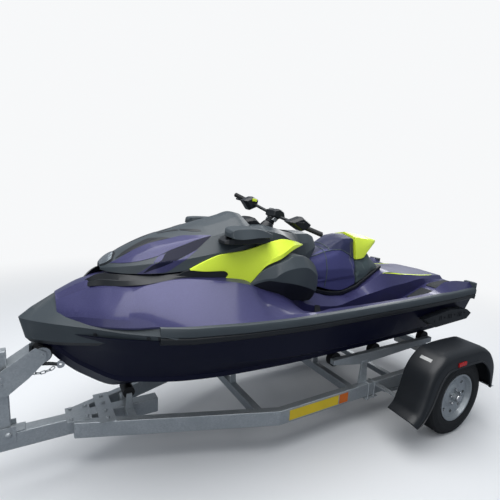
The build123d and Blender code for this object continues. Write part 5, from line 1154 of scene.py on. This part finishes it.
# Seat's rear panel
# A dark sewn pad that closes the seat's rear.
# station, bottom y, z, waist y, z, seam y, z, shoulder y, z, top z
REAR_PANEL = [
    (1.002, 0.180, 0.545, 0.177, 0.660, 0.160, 0.738, 0.110, 0.745, 0.746),
    (0.926, 0.174, 0.572, 0.168, 0.670, 0.150, 0.740, 0.105, 0.748, 0.750),
    (0.850, 0.166, 0.604, 0.155, 0.700, 0.132, 0.780, 0.095, 0.792, 0.795),
    (0.800, 0.160, 0.626, 0.148, 0.690, 0.130, 0.732, 0.090, 0.745, 0.748),
    (0.721, 0.152, 0.654, 0.140, 0.668, 0.125, 0.676, 0.085, 0.682, 0.684),
]
rear_solid = tube_solid(craft(section_rings(REAR_PANEL, 5)))
rear_pad = finish_mesh("seat_rear_panel", *rear_solid, seat_dark, bevel=0.008, angle=20)
stuffed(rear_pad, keel_z + SEAT_HELD, cap=0.006)
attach(rear_pad, "craft_on_trailer")

# Seat's wing
# A firm glossy moulding over the rear panel, which runs out to a point behind.
# station, then y and z up the side from its lower edge, top z
WING = [
    (1.002, 0.158, 0.742, 0.150, 0.800, 0.135, 0.870, 0.115, 0.915, 0.941),
    (0.926, 0.150, 0.745, 0.142, 0.800, 0.126, 0.860, 0.105, 0.902, 0.925),
    (0.842, 0.128, 0.798, 0.124, 0.830, 0.112, 0.862, 0.095, 0.890, 0.911),
    (0.760, 0.095, 0.838, 0.094, 0.852, 0.088, 0.868, 0.072, 0.884, 0.894),
    (0.700, 0.060, 0.856, 0.060, 0.861, 0.056, 0.867, 0.045, 0.873, 0.876),
    (0.668, 0.028, 0.862, 0.028, 0.864, 0.026, 0.866, 0.020, 0.868, 0.869),
]
wing_solid = tube_solid(craft(section_rings(WING, 5)))
wing_pad = finish_mesh("seat_wing", *wing_solid, lime, bevel=0.006, angle=20)
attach(wing_pad, "craft_on_trailer")
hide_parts("seat_back")

# Metal and rubber parts
# Zinc on the trailer's steel, bright or cast metal on the pump and fittings, rubber on tyres,
# rollers and grips. Every solid part that still shows gets the finish of its slot.
WHEEL_X, WHEEL_Z = 0.605, -0.157
TREAD_FROM = 0.268
TREAD_BLOCKS, TREAD_ACROSS = 72, 28.0
WALL_RINGS = 620.0


def galvanised(name, seed):
    """Hot-dip zinc: cells of spangle in slightly different greys and gloss, with faint runs."""
    made = plain_finish(name, (0.50, 0.53, 0.55), 0.45, Metallic=0.75)
    tree = made.node_tree
    place = feed(tree, "TexCoord", "Object")
    cell = feed(tree, "TexVoronoi", "Color", Scale=120, Vector=place)
    cloud = feed(tree, "TexNoise", "Fac", noise_dimensions="4D", W=seed, Scale=9, Detail=5, Vector=place)
    share = feed(tree, "Math", "Value", cell, cloud, operation="MULTIPLY")
    tone = between(tree, share, (0.40, 0.43, 0.45), (0.64, 0.67, 0.69))
    gloss = feed(tree, "MapRange", "Result", Value=cell, To_Min=0.32, To_Max=0.62)
    drive(made, Base_Color=tone, Roughness=gloss)
    return made


def wheel_rubber(name, centre_x, centre_z):
    """Tyre rubber: tread blocks round the crown and moulded rings on the walls, both as relief."""
    made = moulded(name, (0.014, 0.015, 0.016), 0.62, 500, 8.0, specular=0.3)
    tree = made.node_tree

    def worked(kind, *values):
        """Output of a sum on shader values."""
        return feed(tree, "Math", "Value", *values, operation=kind)

    split = feed(tree, "SeparateXYZ", "X", Vector=feed(tree, "TexCoord", "Object")).node.outputs
    across = worked("SUBTRACT", split["X"], centre_x)
    high = worked("SUBTRACT", split["Z"], centre_z)
    radius = worked("SQRT", worked("ADD", worked("MULTIPLY", across, across), worked("MULTIPLY", high, high)))
    along = worked("MULTIPLY", worked("ARCTAN2", high, across), TREAD_BLOCKS / (2 * pi))
    flat = feed(tree, "CombineXYZ", "Vector", X=along, Y=worked("MULTIPLY", split["Y"], TREAD_ACROSS))
    blocks = feed(
        tree, "TexBrick", "Color", Vector=flat, Scale=1.0, Mortar_Size=0.06, Mortar_Smooth=0.2,
        Color1=(1, 1, 1, 1), Color2=(1, 1, 1, 1), Mortar=(0, 0, 0, 1),
    )
    crown = worked("GREATER_THAN", radius, TREAD_FROM)
    rings = worked("MULTIPLY", worked("SINE", worked("MULTIPLY", radius, WALL_RINGS)), 0.12)
    shape = feed(tree, "Mix", "Result", Factor=crown, A=rings, B=blocks)
    drive(made, Normal=feed(tree, "Bump", "Normal", Strength=0.8, Distance=0.006, Height=shape))
    return made


def ribbed(name, colour, rough, scale):
    """Foam or glass with grooves run along the craft."""
    made = moulded(name, colour, rough, 400, 6.0)
    fluted(made, scale, 0.8, 0.003)
    return made


zinc = galvanised("galvanised_zinc", 3.0)
mat_finish = ribbed("mat_foam", (0.028, 0.031, 0.035), 0.8, 30)
deck_mats.data.materials.append(mat_finish)
by_slot = {
    "galvanised": zinc,
    "stainless": worn_metal("stainless_steel", (0.62, 0.63, 0.64), 0.20, 1.0, 600),
    "cast_aluminium": worn_metal("cast_aluminium", (0.45, 0.46, 0.47), 0.45, 0.9, 300, 0.0010),
    "engine_iron": worn_metal("engine_iron", (0.10, 0.10, 0.10), 0.6, 0.6, 250, 0.0015),
    "tyre_rubber": wheel_rubber("tyre_rubber", stern_x + WHEEL_X, keel_z + WHEEL_Z),
    "roller_rubber": moulded("roller_rubber", (0.010, 0.010, 0.011), 0.5, 500, 7.0, specular=0.3),
    "grip_rubber": moulded("grip_rubber", (0.014, 0.015, 0.016), 0.6, 500, 7.0, specular=0.3),
    "mat_foam": mat_finish,
    "plate_white": moulded("plate_white", (0.70, 0.70, 0.68), 0.4, 300, 11.0),
    "lamp_red": ribbed("lamp_red", (0.45, 0.010, 0.010), 0.2, 60),
    "black_moulding": black_plastic,
    "grey_moulding": grey_plastic,
    "hull_gelcoat": gel_hull,
    "deck_gelcoat": gel_deck,
    "lime_panel": lime,
    "seat_vinyl": seat_violet,
}
slot_of = {part["node"]: part["material_slot"] for part in frame["record"]["subparts"]}
body_of = {node: body for body, held in frame["record"]["behaviour"]["bodies"].items() for node in held}
for node, slot in slot_of.items():
    nodes[node].data.materials.clear()
    nodes[node].data.materials.append(by_slot[slot])


def eased(node, width, angle=30.0):
    """Stands for a solid part: its doubles merged, its flat faces joined, and its edges rounded as the
    real casting, pressing or welded section has them."""
    mesh = nodes[node].data.copy()
    work = bmesh.new()
    work.from_mesh(mesh)
    bmesh.ops.remove_doubles(work, verts=work.verts, dist=WELD)
    bmesh.ops.dissolve_limit(work, angle_limit=radians(0.5), verts=work.verts, edges=work.edges)
    bmesh.ops.recalc_face_normals(work, faces=work.faces)
    work.to_mesh(mesh)
    work.free()
    mesh.shade_smooth()
    mesh.set_sharp_from_angle(angle=radians(angle))
    made = bpy.data.objects.new(f"{node}_eased", mesh)
    scene.collection.objects.link(made)
    rounded(made, width, angle, segments=3)
    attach(made, body_of[node])
    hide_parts(node)


for node, width in (
    ("side_rails", 0.005), ("drawbar", 0.006), ("cross_members", 0.004), ("winch_post", 0.005),
    ("rocker_beams", 0.004), ("axle", 0.003), ("guard_arms", 0.002), ("coupling", 0.004), ("winch", 0.004),
    ("bow_roller", 0.002), ("roller_brackets", 0.001), ("leaf_springs", 0.001), ("stern_caps", 0.005),
    ("sponsons", 0.006), ("seat_base", 0.008), ("rim_port", 0.0015), ("rim_starboard", 0.0015),
    ("pump_housing", 0.002), ("steering_nozzle", 0.0015), ("reverse_bucket", 0.002), ("ride_plate", 0.002),
    ("tail_lights", 0.004), ("number_plate", 0.0005), ("jockey_bracket", 0.002), ("jockey_fork", 0.0015),
    ("glovebox_lid", 0.0015),
):
    eased(node, width)

# Bow roller
# A double bell of rubber between two arms of galvanised plate.
BELL_X, BELL_Z = 3.200, 0.322
BELL_R, BELL_HALF = 0.0515, 0.0545
roller_arms = bpy.data.objects["bow_roller_eased"]
roller_arms.data.materials.append(zinc)
for face in roller_arms.data.polygons:
    off = face.center - Vector((stern_x + BELL_X, face.center.y, keel_z + BELL_Z))
    if off.length > BELL_R or abs(face.center.y) > BELL_HALF:
        face.material_index = 1

# Bolts and ribs on the craft's sides
# Dark socket screws through the bow cap's rear points and the sponsons, with short ribs between the
# sponsons' screws.


def on_side(piece, x, z, out):
    """Point of a piece's port side face at a station and height, moved outward, and the face's normal."""
    found, spot, normal, _ = piece.ray_cast(Vector(craft((x, 0.9, z))), Vector((0, -1, 0)))
    return (np.array(spot) - craft((0, 0, 0)) + (0, out, 0), np.array(normal)) if found else (None, None)


sponson_piece = bpy.data.objects["sponsons_eased"]
side_bits = []
for piece, x, z, size in (
    (bow_cap, 2.730, 0.505, 0.011), (bow_cap, 2.960, 0.500, 0.011),
    (sponson_piece, 0.190, 0.345, 0.010), (sponson_piece, 0.320, 0.345, 0.010),
    (sponson_piece, 0.450, 0.338, 0.010), (sponson_piece, 0.570, 0.325, 0.010),
):
    spot, normal = on_side(piece, x, z, -0.001)
    if spot is not None:
        screw = ((0, size), (0.004, size), (0.005, size * 0.8), (0.003, size * 0.5), (0.003, 0.001))
        side_bits.append(disc_solid(spot, normal, screw, 18))
for x in (0.235, 0.255, 0.275, 0.365, 0.385, 0.405, 0.495, 0.515):
    low_spot, _ = on_side(sponson_piece, x, 0.322, 0.0)
    high_spot, _ = on_side(sponson_piece, x, 0.358, 0.0)
    if low_spot is not None and high_spot is not None:
        rows = np.array([[low_spot + (d, 0, 0), high_spot + (d, 0, 0)] for d in (-0.004, 0.004)])
        side_bits.append(slab_solid(craft(rows + (0, 0.003, 0)), craft(rows - (0, 0.004, 0))))
side_screws = finish_mesh(
    "side_screws", *both_hands(join_solids(side_bits)), black_plastic, bevel=0.0006, angle=35,
)
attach(side_screws, "craft_on_trailer")

# Mudguards
# Black mouldings over the wheels: a flat top with a rounded outer shoulder, a side flange that comes
# down to a lip round the wheel, and a toe turned out at the front.
# order, along, up of the top surface from the wheel's centre, flange's share
GUARD = [
    (0, -0.398, 0.022, 0.25), (1, -0.388, 0.160, 0.7), (2, -0.300, 0.310, 1.0), (3, -0.150, 0.374, 1.0),
    (4, 0.060, 0.380, 1.0), (5, 0.220, 0.372, 1.0), (6, 0.370, 0.262, 1.0), (7, 0.432, 0.080, 0.7),
    (8, 0.470, 0.000, 0.4), (9, 0.518, -0.036, 0.15),
]
_, along, rise, share = smooth_rows(GUARD, 7).T
slope = np.stack([np.gradient(along), np.gradient(rise)], axis=1)
slope /= np.linalg.norm(slope, axis=1, keepdims=True)
off_x, off_z = -slope[:, 1], slope[:, 0]
guard_ring = []
for y, drop, flange in (
    (0.702, 0.0, 0), (0.860, 0.0, 0), (0.892, 0.003, 0), (0.910, 0.010, 0), (0.921, 0.022, 0),
    (0.925, 0.036, 0), (0.925, 0.036, 0.060), (0.931, 0.036, 0.064), (0.931, 0.036, 0.072),
    (0.917, 0.036, 0.072), (0.917, 0.040, 0), (0.905, 0.022, 0), (0.885, 0.012, 0), (0.860, 0.008, 0),
    (0.702, 0.008, 0),
):
    down = drop + flange * share
    guard_ring.append((WHEEL_X + along - off_x * down, y + 0 * along, WHEEL_Z + rise - off_z * down))
guard_solid = tube_solid(craft(np.transpose(guard_ring, (2, 0, 1))))
guard_shell = finish_mesh("mudguard_shell", *both_hands(guard_solid), black_plastic, bevel=0.002, angle=35)
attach(guard_shell, "craft_on_trailer")
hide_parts("mudguards")
white_glass = ribbed("reflector_white", (0.80, 0.80, 0.78), 0.2, 120)
red_glass = ribbed("reflector_red", (0.55, 0.012, 0.012), 0.2, 120)
front_pane = np.array([[(0.905 + a, y, 0.166 - 0.74 * a) for y in (0.755, 0.845)] for a in (-0.012, 0.012)])
side_pane = np.array([[(x, 0.9265, z) for z in (0.128, 0.156)] for x in (0.640, 0.730)])
for name, pane, lift, glass in (
    ("reflector_front", front_pane, np.array((0.0055, 0, 0.0075)), white_glass),
    ("reflector_side", side_pane, np.array((0, 0.006, 0)), red_glass),
):
    panes = both_hands(slab_solid(craft(pane + lift), craft(pane - lift)))
    made = finish_mesh(name, *panes, glass, bevel=0.0025, angle=30)
    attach(made, "craft_on_trailer")

# Wheel caps and nuts
# A pressed dust cap over each hub and five nuts round it.
HUB_Y = 0.813
NUTS, NUT_CIRCLE = 5, 0.054
DUST_CAP = ((0.076, 0.031), (0.084, 0.031), (0.091, 0.027), (0.0955, 0.018), (0.0965, 0.006))
for hand, side in (("port", 1), ("starboard", -1)):
    solids = [disc_solid((WHEEL_X, side * HUB_Y, WHEEL_Z), (0, side, 0), DUST_CAP, 28)]
    for k in range(NUTS):
        turn = k * 2 * pi / NUTS + 0.3
        place = (WHEEL_X + NUT_CIRCLE * cos(turn), side * HUB_Y, WHEEL_Z + NUT_CIRCLE * sin(turn))
        solids.append(disc_solid(place, (0, side, 0), ((0.043, 0.0115), (0.058, 0.0115), (0.064, 0.008)), 6))
    cap_piece = finish_mesh(f"hub_cap_{hand}", *join_solids(solids), bright_steel, bevel=0.001, angle=30)
    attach(cap_piece, f"wheel_{hand}")

# Trailer fittings
# Galvanised plates and bolts where the drawbar meets the frame, bent clamps with nuts over the
# rails, and bosses on the winch post.
RAIL_Y = 0.490
# a clamp's line over a rail, as distance out from its middle and height
CLAMP = (
    (0.031, -0.238), (0.031, -0.130), (0.027, -0.114), (0.018, -0.1105), (-0.018, -0.1105), (-0.027, -0.114),
    (-0.031, -0.130), (-0.031, -0.238),
)
BOSS = ((0, 0.018), (0.006, 0.0175), (0.012, 0.013), (0.015, 0.006))


def box_solid(low, high):
    """Solid of a box between two opposite corners."""
    (a, b, c), (d, e, f) = low, high
    return tube_solid(craft([[(x, b, c), (x, e, c), (x, e, f), (x, b, f)] for x in (a, d)]))


def rod_solid(path, radius):
    """Solid of a round bar along a path."""
    return bar_along(craft(path), (0.21, 0.1, 0.3), radius, 10)


def hex_bolt(place, axis, size):
    """Solid of a washer with a hexagon head on it."""
    washer = disc_solid(place, axis, ((0, size * 1.25), (size * 0.25, size * 1.25)), 16)
    head = disc_solid(place, axis, ((size * 0.25, size), (size * 0.9, size), (size * 1.05, size * 0.8)), 6)
    return join_solids([washer, head])


fittings = [
    box_solid((2.960, -0.080, -0.115), (3.095, 0.080, -0.109)),
    box_solid((2.835, -0.165, -0.1155), (2.925, 0.165, -0.1095)),
]
fittings += [hex_bolt((x, y, -0.109), (0, 0, 1), 0.011) for x in (2.985, 3.070) for y in (-0.055, 0.055)]
fittings += [hex_bolt((2.880, y, -0.1095), (0, 0, 1), 0.011) for y in (-0.125, -0.045, 0.045, 0.125)]
for side in (1, -1):
    for x in (0.560, 0.650, 1.060, 1.120):
        fittings.append(rod_solid([(x, (RAIL_Y + out) * side, z) for out, z in CLAMP], 0.005))
        for y in (RAIL_Y - 0.031, RAIL_Y + 0.031):
            fittings.append(hex_bolt((x, y * side, -0.228), (0, 0, -1), 0.008))
    for x in (WHEEL_X, 1.090):
        near, far = ((RAIL_Y + out) * side for out in (-0.042, 0.042))
        fittings.append(box_solid((x - 0.060, near, -0.228), (x + 0.060, far, -0.221)))
    fittings.append(box_solid((3.345, 0.038 * side, -0.165), (3.420, 0.044 * side, -0.075)))
    fittings.append(disc_solid((3.382, 0.044 * side, -0.118), (0, side, 0), BOSS, 20))
fitting_piece = finish_mesh("trailer_fittings", *join_solids(fittings), zinc, bevel=0.0012, angle=30)
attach(fitting_piece, "craft_on_trailer")

# Bow chain and winch strap
# A short chain of zinc links from the bow eye to the winch post, and a dark woven strap from the
# winch with a steel hook in the eye.


def link_solid(heart, line, flat, length=0.034, width=0.021, wire=0.0026):
    """Points and faces of one chain link: a round wire bent to a long ring, which is two half circles
    set apart along the line."""
    line, flat = (np.array(v, float) / np.linalg.norm(v) for v in (line, flat))
    flat = flat - line * np.dot(line, flat)
    flat /= np.linalg.norm(flat)
    over = np.cross(line, flat)
    half, bend = (length - width) / 2, (width - 2 * wire) / 2
    rings = []
    for t in np.arange(20) * 2 * pi / 20:
        apart = half * np.sign(np.cos(t)) * (abs(np.cos(t)) > 0.01)
        out = line * np.cos(t) + flat * np.sin(t)
        spot = np.asarray(heart) + line * apart + bend * out
        rings.append([spot + wire * (np.cos(a) * out + np.sin(a) * over) for a in np.arange(8) * 2 * pi / 8])
    closed = np.array(rings + rings[:1])
    return craft(closed).reshape(-1, 3), grid_faces(len(closed), 8, around=True)


# order, x, y, z of the chain's line, from the winch post to the bow eye
CHAIN = [
    (0, 3.300, 0, 0.232), (1, 3.262, 0, 0.206), (2, 3.215, 0, 0.192), (3, 3.168, 0, 0.200),
    (4, 3.132, 0, 0.222),
]
LINK_PITCH = 0.0245
chain_path = edge_grid(CHAIN, 30)[:, 0]
walked = np.concatenate([[0], np.cumsum(np.linalg.norm(np.diff(chain_path, axis=0), axis=1))])
chain = []
for k in range(int(walked[-1] / LINK_PITCH)):
    at = 0.012 + LINK_PITCH * k
    heart = [np.interp(at, walked, chain_path[:, axis]) for axis in range(3)]
    ahead = [np.interp(at + 0.004, walked, chain_path[:, axis]) for axis in range(3)]
    chain.append(link_solid(heart, np.subtract(ahead, heart), (0, 1, 0) if k % 2 else (0, 0, 1)))
chain_piece = finish_mesh("bow_chain", *join_solids(chain), zinc, angle=60)
# x and z of the strap's and the hook's lines on the centre line
STRAP = ((3.452, 0.300), (3.36, 0.262), (3.25, 0.258), (3.16, 0.240), (3.128, 0.230))
HOOK = ((3.130, 0.232), (3.112, 0.236), (3.098, 0.228), (3.098, 0.212), (3.110, 0.205))
strap_rows = np.array([[(x, y, z) for y in (-0.022, 0.022)] for x, z in STRAP])
strap_solid = slab_solid(craft(strap_rows), craft(strap_rows - (0, 0, 0.003)))
strap = finish_mesh("winch_strap", *strap_solid, black_plastic, bevel=0.0008, angle=30)
hook_solid = rod_solid([(x, 0, z) for x, z in HOOK], 0.005)
hook_piece = finish_mesh("strap_hook", *hook_solid, bright_steel, angle=60)
for piece, slot in ((chain_piece, "galvanised"), (strap, "black_moulding"), (hook_piece, "galvanised")):
    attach(piece, "craft_on_trailer")

# Rail bands
# Blank bands of yellow and orange foil on the outer side of each rail.
RAIL_OUTER = 0.5165
band_yellow = moulded("band_yellow", (0.72, 0.52, 0.020), 0.4, 500, 12.0)
band_orange = moulded("band_orange", (0.62, 0.14, 0.015), 0.4, 500, 13.0)
for name, ends, finish in (
    ("rail_band_yellow", (1.410, 1.830), band_yellow), ("rail_band_orange", (1.320, 1.400), band_orange),
):
    face = np.array([[(x, RAIL_OUTER, z) for z in (-0.200, -0.130)] for x in ends])
    bands = both_hands(slab_solid(craft(face), craft(face - (0, 0.0012, 0))))
    made = finish_mesh(name, *bands, finish, angle=30)
    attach(made, "craft_on_trailer")
